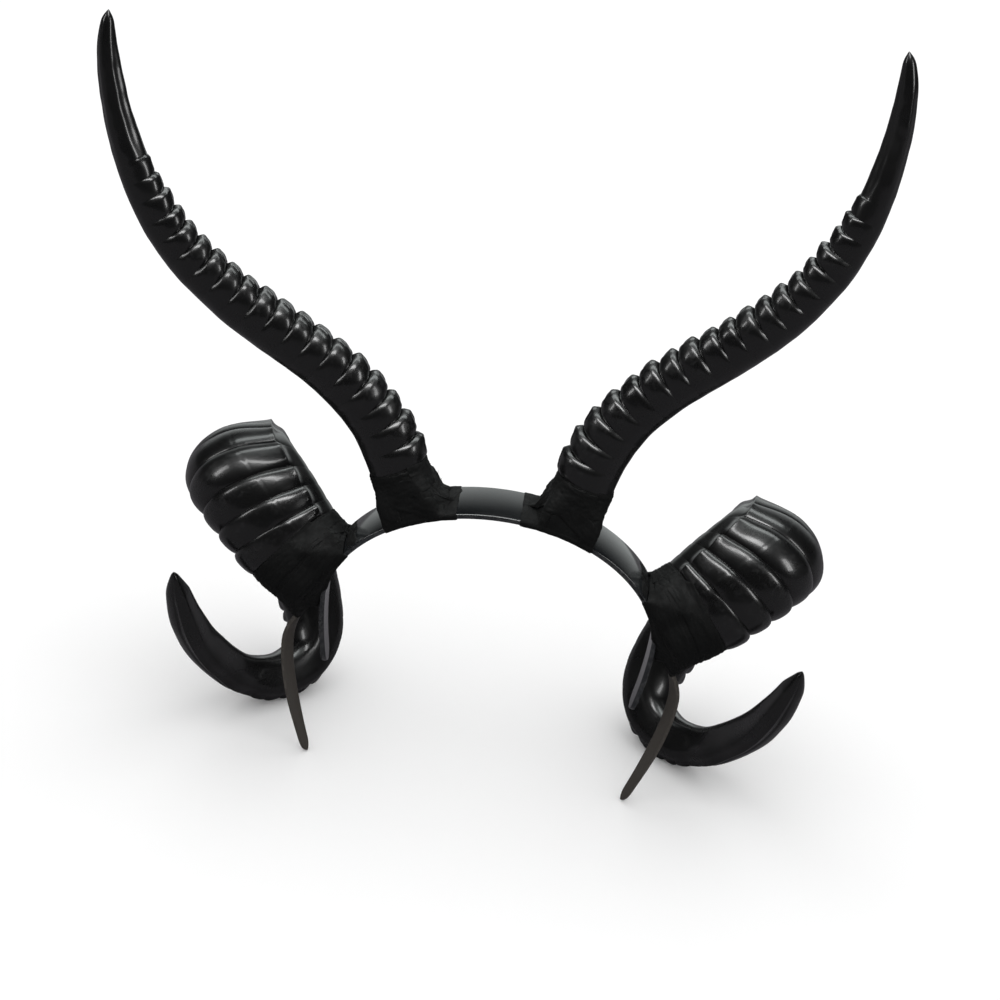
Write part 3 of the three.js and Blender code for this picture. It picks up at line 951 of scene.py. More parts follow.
@dataclass(frozen=True)
class SeatLimit:
    """The space that the band and an arm's upper half fill, which no horn may enter."""

    band: BandForm
    arm: ArmForm
    gap: float = 0.3
    half_depth: float = 30.0

    def push(self, points: Array, side: Side) -> Array:
        """Moves points that lie inside the band or arm out to their faces.

        Args:
            points: Points in the band's frame.
            side: The horn's side.

        Returns:
            The points, moved away from the head's middle where needed.
        """
        q = np.linspace(-1, 1, 1200)
        edge = self.band.point(q) + self.band.outward(q) * (self.band.seat + self.gap)
        arm = self.arm.line(side, self.band, 400)[:200]
        edge = np.vstack([edge, arm + [side.value * (self.arm.thickness / 2 + self.gap), 0, 0]])
        hub = np.array([0.0, 0.0, -self.band.rise])
        out = edge - hub
        angles = np.arctan2(out[:, 2], out[:, 0])
        reach = np.hypot(out[:, 0], out[:, 2])
        bins = np.linspace(-math.pi, math.pi, 721)
        limit = np.zeros(len(bins))
        np.maximum.at(limit, np.clip(np.digitize(angles, bins), 0, 720), reach)
        own = points - hub
        angle = np.arctan2(own[..., 2], own[..., 0])
        radius = np.hypot(own[..., 0], own[..., 2])
        wanted = limit[np.clip(np.digitize(angle, bins), 0, 720)]
        inside = (radius < wanted) & (np.abs(points[..., 1]) < self.half_depth)
        grow = np.where(inside, wanted / np.maximum(radius, 1e-6), 1.0)
        moved = points.copy()
        moved[..., 0] = hub[0] + own[..., 0] * grow
        moved[..., 2] = hub[2] + own[..., 2] * grow
        return moved


TALL_LEAN_AND_SIZE = (
    (0.0, 19.0, 0.93),
    (0.1, 23.0, 0.9),
    (0.18, 36.5, 0.84),
    (0.26, 49.0, 0.8),
    (0.345, 55.5, 0.78),
    (0.43, 55.0, 0.75),
    (0.51, 49.0, 0.7),
    (0.59, 39.0, 0.63),
    (0.67, 28.0, 0.57),
    (0.755, 19.0, 0.5),
    (0.835, 11.5, 0.43),
    (0.92, 3.5, 0.34),
    (0.98, -6.0, 0.2),
    (1.0, -9.0, 0.05),
)


@dataclass
class TallHorn:
    """A tall ringed horn that sweeps outwards and then up to a smooth tip."""

    band: BandForm
    limit: SeatLimit
    side: Side
    pose: RestPose
    length: float = 264.0
    root_width: float = 28.5
    root_depth: float = 25.0
    spread: float = 34.5
    shift: float = 6.4
    pair_turn: float = 6.5
    lean_back: float = 8.0
    ring_count: int = 19
    ring_height: float = 2.9
    taped: float = 20.0
    ringed: float = 200.0
    facing: float = -4.0
    hook: float = 0.0
    corner_lead: float = 2.0
    tip_rounding: float = 3.0
    near_seat: float = 26.0
    root_cuts: int = 10
    tip_cuts: int = 90
    around: int = 132
    girth: float = 70.0

    def spine(self) -> Stations:
        """Walks the spine up from its seat on the band.

        Returns:
            The spine's stations.
        """
        sign, count = self.side.value, 400
        q = self.band.at_x(sign * self.spread - self.shift)
        table = np.array(TALL_LEAN_AND_SIZE)
        along = np.arange(count + 1) / count
        tilt = np.radians(table_value(table[:, 0], table[:, 1], along) - sign * self.pair_turn)
        size = table_value(table[:, 0], table[:, 2], along)
        back = math.radians(self.lean_back)
        tangent = np.stack(
            [sign * np.sin(tilt), np.cos(tilt) * math.sin(back), np.cos(tilt) * math.cos(back)], -1
        )
        inward = np.stack(
            [-sign * np.cos(tilt), np.sin(tilt) * math.sin(back), np.sin(tilt) * math.cos(back)], -1
        )
        start = self.band.point(q) + self.band.outward(q) * self.band.seat
        steps = np.vstack([np.zeros(3), tangent[:-1] * self.length / count])
        front = -sign * np.cross(tangent, inward)
        deep = self.root_depth / 2 * (size + (1 - size) * 0.12 * size)
        return Stations(
            along * self.length,
            start + np.cumsum(steps, 0),
            tangent,
            inward,
            front,
            self.root_width / 2 * size,
            deep,
        )

    def plan(self) -> RingPlan:
        """Spreads the rings from the wrap to the smooth tip."""
        return RingPlan(
            count=self.ring_count,
            start=self.taped,
            end=self.ringed,
            closing=0.05,
            samples=20,
            fading=4.0,
            crest=0.7,
            fullness=2.2,
            steepness=0.6,
            jitter=0.35,
            seed=11 + self.side.value,
        )

    def skin(self) -> Skin:
        """Raises the rings, their pinched corners and the flutes of the tip.

        Returns:
            The horn's skin.
        """
        runs, phase, height = self.plan().runs(self.length, self.root_cuts, self.tip_cuts)
        spine = self.spine().at(runs)
        even = np.linspace(0, 2 * math.pi, self.around, endpoint=False)
        angle = even - 0.5 * np.sin(even - math.radians(self.hook))
        facing = 0.5 + 0.5 * np.cos(angle - math.radians(self.facing))
        inner = smoothstep(facing, 0.6, 0.95)
        swell = height[:, None] * inner + height[:, None] ** 1.8 * (1 - inner)
        proud = self.ring_height * swell * facing**1.9
        share = runs / self.length
        proud += self.hooks(angle, phase, height) + self.flutes(angle, share)
        end = round_end(runs, self.length, self.tip_rounding)[:, None]
        rings = (
            spine.centre[:, None]
            + spine.first[:, None] * ((spine.wide[:, None] + proud) * end * np.cos(angle))[..., None]
            + spine.second[:, None] * ((spine.deep[:, None] + proud) * end * np.sin(angle))[..., None]
        )
        bare = smoothstep(runs, self.taped, self.taped + 12) * smoothstep(1 - share, 0, 0.1)
        uneven = grain(rings, 13.0, 3.0 * self.side.value) * 0.36 + grain(rings, 5.5, 8.0) * 0.16
        uneven *= bare[:, None]
        away = (rings - spine.centre[:, None]) / spine.wide[:, None, None].clip(1)
        rings += away * uneven[..., None]
        led = smoothstep(runs, self.taped, self.taped + 12)
        led *= 1 - smoothstep(runs, self.ringed - 20, self.ringed + 5)
        lead = led[:, None] * self.lead(angle)
        rings += spine.tangent[:, None] * lead[..., None]
        near = runs < self.near_seat
        rings[near] = self.limit.push(rings[near], self.side)
        crest = height[:, None] * np.sqrt(facing)[None, :]
        across = np.linspace(0, self.girth, self.around + 1)
        return Skin(rings, masks={"crest": crest}, across=across, along=runs)

    def from_corner(self, angle: Array) -> Array:
        """Gives degrees round from the front inner corner, less than nothing on its inner side."""
        return (np.degrees(angle) - self.hook + 180) % 360 - 180

    def lead(self, angle: Array) -> Array:
        """Gives how far the rings reach towards the tip, most at their front inner corner."""
        turned = self.from_corner(angle)
        return self.corner_lead * np.where(turned > 0, np.exp(-turned / 42), np.exp(turned / 26))

    def hooks(self, angle: Array, phase: Array, height: Array) -> Array:
        """Pinches each ring's front corner into two thin ridges that meet towards its upper edge.

        Args:
            angle: Places round the horn.
            phase: Place within the ring of each cut.
            height: Raised height at each cut.

        Returns:
            Heights to add, with a row for each cut.
        """
        below = (0.82 - phase)[:, None]
        turned = self.from_corner(angle)[None, :]
        outer = bell(turned, 4 + 42 * below, 3.8 + 3 * below)
        inner = bell(turned, -3 - 14 * below, 3.4)
        dent = bell(turned, 1 + 8 * below, 7 + 9 * below) * smoothstep(below, 0.02, 0.2)
        fade = smoothstep(below, -0.14, 0.0) * smoothstep(0.78 - below, 0.0, 0.3)
        corner = bell(turned, 0, 8.0) * smoothstep(within_ring(phase), 0.0, 0.5)[:, None]
        return (0.42 * outer + 0.34 * inner - 0.5 * dent) * fade * height[:, None] + 0.3 * corner

    def flutes(self, angle: Array, share: Array) -> Array:
        """Presses long shallow flutes into the smooth tip.

        Args:
            angle: Places round the horn.
            share: Share of the length at each cut.

        Returns:
            Depths to add.
        """
        fade = smoothstep(share, 0.72, 0.8) * smoothstep(1 - share, 0.0, 0.12)
        wave = np.cos(angle * 3 - 0.8) * 0.35 + np.cos(angle * 7 + 1.0) * 0.16
        return wave[None, :] * fade[:, None]

    def build(self, finish: bpy.types.Material) -> bpy.types.Object:
        """Makes the horn and sets it in place of its solid."""
        word = self.side.word
        piece = skin_object(f"dressed_tall_horn_{word}", self.skin(), self.pose, finish)
        settle(piece, f"tall_horn_{word}")
        return piece


RAM_OUT_BACK_DROP_WIDE_DEEP = (
    (0.541, 0.024, 0.386, 0.88, 0.94),
    (0.653, 0.098, 0.316, 0.93, 0.97),
    (0.757, 0.195, 0.228, 0.98, 1.0),
    (0.832, 0.33, 0.185, 1.0, 1.0),
    (0.866, 0.524, 0.215, 0.98, 0.98),
    (0.872, 0.722, 0.303, 0.94, 0.94),
    (0.836, 0.915, 0.429, 0.85, 0.86),
    (0.747, 1.0, 0.593, 0.74, 0.76),
    (0.658, 0.976, 0.757, 0.64, 0.67),
    (0.592, 0.83, 0.897, 0.54, 0.58),
    (0.6, 0.69, 0.97, 0.48, 0.53),
    (0.665, 0.52, 0.995, 0.44, 0.5),
    (0.775, 0.32, 0.945, 0.41, 0.47),
    (0.889, 0.098, 0.776, 0.39, 0.45),
    (0.947, -0.049, 0.614, 0.34, 0.39),
    (0.977, -0.11, 0.486, 0.24, 0.27),
    (0.99, -0.146, 0.4, 0.04, 0.05),
)

RAM_SECTION_OUT_AWAY_RIB = (
    (-0.48, 1.1, 1.0),
    (-0.1, 1.06, 1.0),
    (0.27, 0.95, 1.0),
    (0.6, 0.75, 1.0),
    (0.86, 0.42, 1.0),
    (0.98, 0.02, 1.0),
    (0.91, -0.42, 0.9),
    (0.64, -0.8, 0.5),
    (0.2, -0.98, 0.1),
    (-0.3, -0.98, 0.0),
    (-0.74, -0.76, 0.0),
    (-0.98, -0.1, 0.0),
    (-1.02, 0.68, 0.1),
    (-0.48, 1.1, 1.0),
)


@dataclass
class RamHorn:
    """A ribbed ram horn that curls once beside the head."""

    limit: SeatLimit
    side: Side
    pose: RestPose
    out: float = 146.0
    back: float = 82.0
    drop: float = 140.0
    hub: tuple[float, float, float] = (113.0, 40.0, -82.0)
    width: float = 47.0
    depth: float = 40.0
    rib_count: int = 28
    rib_height: float = 2.3
    taped: float = 20.0
    ribbed: float = 262.0
    rib_tilt: float = 22.0
    limb_turn: float = 14.0
    around: int = 132
    seam: float = 0.112
    seam_lead: float = 0.1
    ridge_shift: float = 0.32
    ridge_drop: float = 0.112
    tip_rounding: float = 3.0
    near_seat: float = 55.0
    root_cuts: int = 10
    tip_cuts: int = 130
    girth: float = 120.0

    def spine(self) -> Stations:
        """Walks the spine round its curl from the band to the tip.

        Returns:
            The spine's stations.
        """
        sign, count = self.side.value, 400
        table = np.array(RAM_OUT_BACK_DROP_WIDE_DEEP)
        scale = np.array([sign * self.out, self.back, -self.drop])
        curve = Curve(table[:, :3] * scale)
        sizes = Curve(np.column_stack([table[:, 3:], np.zeros(len(table))]))
        t = np.linspace(0, 1, 4001)
        dense = curve.at(t)
        run = np.r_[0, np.cumsum(np.linalg.norm(np.diff(dense, axis=0), axis=1))]
        wanted = np.linspace(0, run[-1], count + 1)
        at = np.interp(wanted, run, t)
        centre, size = curve.at(at), sizes.at(at)
        tangent = unit(np.gradient(centre, axis=0))
        radial = centre - np.array([sign * self.hub[0], *self.hub[1:]])
        radial = unit(radial - tangent * np.einsum("ij,ij->i", radial, tangent)[:, None])
        outward = sign * np.cross(tangent, radial)
        wide, deep = self.width / 2 * size[:, 0], self.depth / 2 * size[:, 1]
        return Stations(wanted, centre, tangent, outward, radial, wide, deep)

    def section(self) -> tuple[Array, Array, Array, Array]:
        """Rounds the section's table into a smooth outline with one sharp ridge.

        Returns:
            The place round the section, its two coordinates and how proud a rib stands there.
        """
        even = np.linspace(0, 1, self.around, endpoint=False)
        t = even - 0.6 * np.sin(2 * math.pi * even) / (2 * math.pi)
        rows = np.array(RAM_SECTION_OUT_AWAY_RIB)
        shape = Curve(rows * [1, 1, 0]).at(t)
        rib = np.interp(t, np.linspace(0, 1, len(rows)), rows[:, 2])
        rib *= 1 - 0.15 * bell(t, 0, 0.012)
        spans = len(rows) - 1
        in_last = t * spans - (spans - 1)
        rib = np.where(in_last > 0, 0.03 + 0.8 * in_last.clip(0) ** 6, rib)
        return t, shape[:, 0], shape[:, 1], rib

    def plan(self) -> RingPlan:
        """Spreads the ribs from the wrap to the smooth lower limb."""
        return RingPlan(
            count=self.rib_count,
            start=self.taped,
            end=self.ribbed,
            closing=0.1,
            samples=18,
            fading=9.0,
            crest=0.68,
            fullness=2.0,
            steepness=0.66,
            jitter=0.4,
            seed=31 + self.side.value,
        )

    def skin(self) -> Skin:
        """Raises the ribs, their hooked corners, the seam and the lower limb's creases.

        Returns:
            The horn's skin.
        """
        spine = self.spine()
        length = float(spine.run[-1])
        runs, phase, height = self.plan().runs(length, self.root_cuts, self.tip_cuts)
        spine = spine.at(runs)
        t, out, away, rib = self.section()
        share = runs / length
        curl_top = bell(share, 0.26, 0.13)[:, None] * bell(np.minimum(t, 1 - t), 0, 0.06)
        out = out - self.ridge_shift * curl_top
        away = away - self.ridge_drop * curl_top
        proud = self.rib_height * height[:, None] * rib[None, :] * self.smoothed(t, runs)
        proud += self.ridge_hooks(t, phase, height) + self.seam_line(t, height)
        proud += self.creases(t, share)
        turn = np.radians(self.limb_turn) * smoothstep(share, 0.55, 0.75)
        first, second = self.turned(spine, turn)
        reach = np.hypot(out, away)
        wide = out * (spine.wide[:, None] + proud / reach)
        ribbed = smoothstep(runs, self.taped, self.taped + 8)
        ribbed *= 1 - smoothstep(runs, self.ribbed - 90, self.ribbed)
        inside = self.seam_lead * smoothstep(self.seam - t, -0.003, 0.003) * (t < 0.5)
        lead = wide * np.tan(self.tilt(runs))[:, None] + ribbed[:, None] * inside
        end = round_end(runs, length, self.tip_rounding)[:, None]
        rings = (
            spine.centre[:, None]
            + first[:, None] * (wide * end)[..., None]
            + spine.tangent[:, None] * lead[..., None]
            + second[:, None] * (away * (spine.deep[:, None] + proud / reach) * end)[..., None]
        )
        bare = smoothstep(runs, self.taped, self.taped + 12) * smoothstep(1 - share, 0, 0.1)
        uneven = grain(rings, 16.0, 5.0 * self.side.value) * 0.24 * bare[:, None]
        crumpled = bell(np.minimum(t, 1 - t), 0.006, 0.014)[None, :] * height[:, None]
        uneven += grain(rings, 1.6, 7.0 + self.side.value) * 0.12 * crumpled
        rings += unit(rings - spine.centre[:, None] + 1e-9) * uneven[..., None]
        near = runs < self.near_seat
        rings[near] = self.limit.push(rings[near], self.side)
        crest = height[:, None] * rib[None, :]
        across = np.linspace(0, self.girth, self.around + 1)
        return Skin(rings, masks={"crest": crest}, across=across, along=runs)

    def tilt(self, run: Array) -> Array:
        """Gives the angle by which the ribs' outer ends lead at distances along the horn."""
        share = run / self.ribbed
        rise = np.clip((share - 0.06) / 0.2, 0, 1)
        return np.radians(self.rib_tilt) * rise * (1 - smoothstep(share, 0.42, 0.72))

    def turned(self, spine: Stations, turn: Array) -> tuple[Array, Array]:
        """Turns the section's axes about the spine, so that the ridge climbs the lower limb's front.

        Args:
            spine: The stations.
            turn: Angle at each station.

        Returns:
            The two axes.
        """
        cos, sin = np.cos(turn)[:, None], np.sin(turn)[:, None]
        return spine.first * cos + spine.second * sin, spine.second * cos - spine.first * sin

    def smoothed(self, t: Array, runs: Array) -> Array:
        """Lowers the first ribs beside the ridge's plate, and the later ones inside the curl."""
        beside = (smoothstep(t, 0.12, 0.2) * (1 - smoothstep(t, 0.28, 0.36)))[None, :]
        near = 1 - smoothstep(runs, self.taped + 6, self.taped + 30)[:, None]
        inside = (smoothstep(t, 0.4, 0.5) * (1 - smoothstep(t, 0.9, 0.93)))[None, :]
        later = smoothstep(runs, 85, 125)[:, None]
        return (1 - 0.6 * beside * near) * (1 - 0.95 * inside * later)

    def ridge_hooks(self, t: Array, phase: Array, height: Array) -> Array:
        """Pulls each rib up to a small hooked corner on the ridge."""
        to_ridge = np.minimum(t, 1 - t)
        corner = bell(to_ridge, 0, 0.012)[None, :]
        crest = (height**2)[:, None]
        hook = (bell(phase, 0.72, 0.14) * height)[:, None]
        notch = ((1 - height) * (phase > 0))[:, None]
        return corner * (0.3 * crest + 0.2 * hook - 0.05 * notch)

    def seam_line(self, t: Array, height: Array) -> Array:
        """Cuts the mould's thin seam and sets the ribs a little lower on the ridge's side of it."""
        line = -0.12 * bell(t, self.seam, 0.0022)[None, :]
        step = -0.05 * smoothstep(self.seam - t, -0.002, 0.002)[None, :] * height[:, None]
        return line * (0.4 + 0.6 * height[:, None]) + step

    def creases(self, t: Array, share: Array) -> Array:
        """Presses long creases into the smooth lower limb."""
        fade = smoothstep(share, 0.6, 0.7) * smoothstep(1 - share, 0.0, 0.08)
        wander = 0.008 * np.sin(share * 40)[:, None]
        ridge = 0.45 * bell(np.minimum(t, 1 - t), 0, 0.02)[None, :]
        groove = -0.55 * bell(t[None, :] + wander, 0.055, 0.02)
        under = 1 - smoothstep(np.minimum(t, 1 - t), 0.05, 0.16)
        lumps = 0.45 * np.sin(share * 92)[:, None] * bell(share, 0.74, 0.07)[:, None] * under[None, :]
        return (groove + ridge) * fade[:, None] + lumps

    def build(self, finish: bpy.types.Material) -> bpy.types.Object:
        """Makes the horn and sets it in place of its solid."""
        word = self.side.word
        piece = skin_object(f"dressed_ram_horn_{word}", self.skin(), self.pose, finish)
        settle(piece, f"ram_horn_{word}")
        return piece


def settle(piece: bpy.types.Object, node: str | None = None) -> None:
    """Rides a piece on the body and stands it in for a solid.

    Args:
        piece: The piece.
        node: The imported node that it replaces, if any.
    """
    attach(piece, BODY)
    if node:
        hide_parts(node)
    LOG.info("%s: %d points", piece.name, len(piece.data.vertices))


def faces_of(pieces: tuple[bpy.types.Object, ...]) -> BVHTree:
    """Joins the faces of some pieces in one search tree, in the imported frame."""
    verts: list[Vector] = []
    faces: list[tuple[int, ...]] = []
    for piece in pieces:
        start = len(verts)
        verts += [vertex.co.copy() for vertex in piece.data.vertices]
        faces += [tuple(start + i for i in face.vertices) for face in piece.data.polygons]
    return BVHTree.FromPolygons(verts, faces)


@dataclass
class TapeWrap:
    """Cloth tape bound round a horn's root and the band: a drawn-in core and the turns over it."""

    node: bpy.types.Object
    pose: RestPose
    label: str
    ground: BVHTree
    turns: tuple["Turn", ...]
    seed: int
    voxel_mm: float = 0.7
    smoothings: int = 10
    hug_mm: float = 0.42
    lining_mm: float = 0.08
    slack_mm: float = 1.2
    web_mm: float = 4.5

    def core(self, finish: bpy.types.Material) -> bpy.types.Object:
        """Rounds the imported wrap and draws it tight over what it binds.

        Returns:
            The core.
        """
        source = bpy.data.objects.new("core_source", self.node.data.copy())
        bpy.context.scene.collection.objects.link(source)
        remesh = source.modifiers.new("even", "REMESH")
        remesh.mode = "VOXEL"
        remesh.voxel_size = self.voxel_mm * MM
        smooth = source.modifiers.new("soft", "SMOOTH")
        smooth.factor = 0.5
        smooth.iterations = self.smoothings
        shaped = source.evaluated_get(bpy.context.evaluated_depsgraph_get())
        mesh = bpy.data.meshes.new_from_object(shaped)
        bpy.data.objects.remove(source)
        mesh.name = f"wrap_core_{self.label}"
        points = np.empty(len(mesh.vertices) * 3)
        mesh.vertices.foreach_get("co", points)
        normals = np.array([v.normal for v in mesh.vertices])
        points = self.drawn_in(points.reshape(-1, 3), normals)
        places = points / MM
        lumps = grain(places, 6.0, self.seed) * 0.12 + grain(places, 2.2, self.seed + 5) * 0.1
        mesh.vertices.foreach_set("co", (points + normals * lumps[:, None] * MM).ravel())
        mesh.materials.clear()
        mesh.materials.append(finish)
        mesh.uv_layers.new(name="skin_mm")
        mesh.shade_smooth()
        mesh.update()
        piece = bpy.data.objects.new(mesh.name, mesh)
        bpy.context.scene.collection.objects.link(piece)
        return piece

    def drawn_in(self, points: Array, normals: Array) -> Array:
        """Moves the core's points to a cloth's thickness from what they lie on.

        Args:
            points: The core's points in metres.
            normals: Their outward directions.

        Returns:
            The moved points. Where the cloth spans a hollow it stays taut.
        """
        moved = points.copy()
        for k, (point, normal) in enumerate(zip(points, normals)):
            foot = np.array(self.ground.find_nearest(Vector(point))[0])
            offset = point - foot
            distance = float(np.linalg.norm(offset)) / MM
            if distance < 1e-6:
                continue
            facing = float(offset @ normal) / (distance * MM)
            taut = float(smoothstep(distance, self.slack_mm, self.web_mm))
            outer = self.hug_mm + (distance - self.hug_mm) * taut
            wanted = self.lining_mm + (outer - self.lining_mm) * (0.5 + 0.5 * facing)
            moved[k] = foot + offset * (wanted / distance)
        return moved

    def build(self, finish: bpy.types.Material) -> None:
        """Makes the core, the turns of tape over it and their loose threads."""
        core = self.core(finish)
        settle(core, self.node.name)
        trees = (faces_of((core,)), self.ground)
        for number, turn in enumerate(self.turns):
            turn.build(f"wrap_turn_{self.label}_{number}", trees, self.pose, finish, self.seed + number)


@dataclass(frozen=True)
class Turn:
    """One turn of tape round an axis.

    The tape starts at an angle and sweeps round, and its middle may move along the axis as it goes.
    """

    centre: Array
    axis: Array
    width: float = 9.0
    start: float = 0.0
    sweep: float = 360.0
    advance: float = 0.0
    lift: float = 0.25
    thickness: float = 0.3
    ragged: float = 0.6
    along: int = 200
    across: int = 16
    threads: int = 22

    def frame(self) -> tuple[Array, Array, Array]:
        """Gives the axis and two directions square to it."""
        axis = unit(self.axis)
        upright = BACK if abs(axis[1]) < 0.8 else np.array([1.0, 0.0, 0.0])
        first = unit(np.cross(axis, upright))
        return axis, first, np.cross(axis, first)

    def surface(self, trees: tuple[BVHTree, ...], pose: RestPose, seed: int) -> tuple[Array, Array]:
        """Lays the tape's grid on what is under it.

        Args:
            trees: The core's faces, then those of what it binds.
            pose: Where the band's frame lies.
            seed: Shifts the wrinkles.

        Returns:
            The grid's points and their outward directions, in the band's frame.
        """
        axis, first, second = self.frame()
        angle = np.radians(self.start + np.linspace(0, self.sweep, self.along))
        still, flat = np.full_like(angle, seed * 7.0), np.zeros_like(angle)
        coarse, fine = (np.stack([angle * scale, still, flat], -1) for scale in (6, 22))
        low_edge = grain(coarse, 1.0, 0.3) + 0.6 * grain(fine, 1.0, 2.3)
        high_edge = grain(coarse, 1.0, 9.3) + 0.6 * grain(fine, 1.0, 5.3)
        grid = np.zeros((self.along, self.across, 3))
        for i, a in enumerate(angle):
            ray = first * math.cos(a) + second * math.sin(a)
            middle = self.advance * (i / (self.along - 1) - 0.5)
            low = -self.width / 2 + self.ragged * low_edge[i]
            high = self.width / 2 + self.ragged * high_edge[i]
            for j in range(self.across):
                place = middle + low + (high - low) * j / (self.across - 1)
                grid[i, j] = self.touch(trees, pose, self.centre + axis * place, ray)
        for _ in range(5):
            grid[1:-1] = (grid[1:-1] * 2 + grid[:-2] + grid[2:]) / 4
            grid[:, 1:-1] = (grid[:, 1:-1] * 2 + grid[:, :-2] + grid[:, 2:]) / 4
        normals = unit(np.cross(np.gradient(grid, axis=0), np.gradient(grid, axis=1)) + 1e-9)
        outward = grid - (self.centre + ((grid - self.centre) @ axis)[..., None] * axis)
        normals *= np.sign((normals * outward).sum(-1).mean())
        return grid + normals * (self.lift + self.folds(angle, grid, seed))[..., None], normals

    def folds(self, angle: Array, grid: Array, seed: int) -> Array:
        """Gives how far the tape stands off what is under it: drawn folds, creases and tight edges.

        Args:
            angle: Angle of each row of the grid.
            grid: The tape's points.
            seed: Shifts the folds.

        Returns:
            A height for each point.
        """
        across = np.linspace(0, 1, self.across)
        run = np.stack(np.meshgrid(angle * 2.0, across * self.width / 1.5, indexing="ij"), -1)
        run = np.concatenate([run, np.full((*run.shape[:2], 1), seed * 3.1)], -1)
        slanted = run @ np.array([[0.9, 0.5, 0], [-0.5, 0.9, 0], [0, 0, 1.0]])
        crease = (1 - np.abs(grain(slanted, 0.8, 4.5))) ** 8 * 0.3
        from_edge = np.minimum(across, 1 - across)
        tight = 0.25 + 0.75 * smoothstep(from_edge, 0, 0.12)[None, :]
        folded = (grain(run, 1.0, 0.5) * 0.22 + crease) * tight
        return folded + grain(grid, 2.6, seed) * 0.1 - self.lift * (1 - tight) * 0.8

    def touch(self, trees: tuple[BVHTree, ...], pose: RestPose, foot: Array, ray: Array) -> Array:
        """Finds where a ray from outside first meets the core, or what lies beside it.

        Args:
            trees: The core's faces, then those of what it binds.
            pose: Where the band's frame lies.
            foot: The place on the axis.
            ray: The direction from there outwards.

        Returns:
            The place met, or the nearest one on the core if the ray misses.
        """
        towards = Vector(pose.place(foot) - pose.place(foot + ray)).normalized()
        for tree, far in zip(trees, (60, 24)):
            hit = tree.ray_cast(Vector(pose.place(foot + ray * far)), towards, far * MM)[0]
            if hit is not None:
                return pose.back(np.array(hit))
        beside = Vector(pose.place(foot + ray * 14))
        return pose.back(np.array(trees[0].find_nearest(beside)[0]))

    def build(
        self, name: str, trees: tuple, pose: RestPose, finish: bpy.types.Material, seed: int
    ) -> None:
        """Makes the tape as a thin closed skin, with loose threads on its edges."""
        grid, normals = self.surface(trees, pose, seed)
        under = grid - normals * self.thickness
        rings = np.concatenate([grid, under[:, ::-1]], 1)
        run = np.r_[0, np.cumsum(np.linalg.norm(np.diff(grid[:, 0], axis=0), axis=1))]
        across = np.linspace(0, self.width * 2, self.across * 2 + 1)
        piece = skin_object(name, Skin(rings, across=across, along=run), pose, finish)
        settle(piece)
        verts, faces = self.fray(grid, normals, seed)
        frayed = add_object(f"{name}_threads", pose.place(verts), faces, finish)
        frayed.data.uv_layers.new(name="skin_mm")
        settle(frayed)

    def fray(self, grid: Array, normals: Array, seed: int) -> tuple[Array, list[tuple[int, ...]]]:
        """Pulls short loose threads out of the tape's edges.

        Args:
            grid: The tape's points.
            normals: Their outward directions.
            seed: Starts the random draws.

        Returns:
            The threads' points in the band's frame and their faces.
        """
        rng = np.random.default_rng(seed)
        verts: list[Array] = []
        faces: list[tuple[int, ...]] = []
        steps, sides = 6, 5
        turn = np.linspace(0, 2 * math.pi, sides, endpoint=False)[:, None]
        for _ in range(self.threads):
            row = int(rng.integers(2, self.along - 2))
            edge, inner = (0, 1) if rng.random() < 0.5 else (-1, -2)
            away = unit(grid[row, edge] - grid[row, inner])
            sweep = unit(grid[row + 1, edge] - grid[row - 1, edge]) * rng.uniform(-0.9, 0.9)
            heading = unit(away + sweep + normals[row, edge] * rng.uniform(0.0, 0.5))
            curl = unit(rng.normal(size=3)) * 0.35
            length, thick = rng.uniform(0.7, 2.2), rng.uniform(0.08, 0.14)
            start = grid[row, edge] - away * 0.3
            side = unit(np.cross(heading, normals[row, edge]))
            up = np.cross(side, heading)
            base = len(verts) * sides
            for k in range(steps + 1):
                share = k / steps
                centre = start + (heading * share + curl * share**2) * length
                radius = thick * (1 - 0.85 * share)
                verts.append(centre + (side * np.cos(turn) + up * np.sin(turn)) * radius)
                if k:
                    low = base + (k - 1) * sides
                    for s in range(sides):
                        nxt = (s + 1) % sides
                        faces.append((low + s, low + nxt, low + sides + nxt, low + sides + s))
            faces.append(tuple(base + s for s in reversed(range(sides))))
            faces.append(tuple(base + steps * sides + s for s in range(sides)))
        return np.vstack(verts), faces


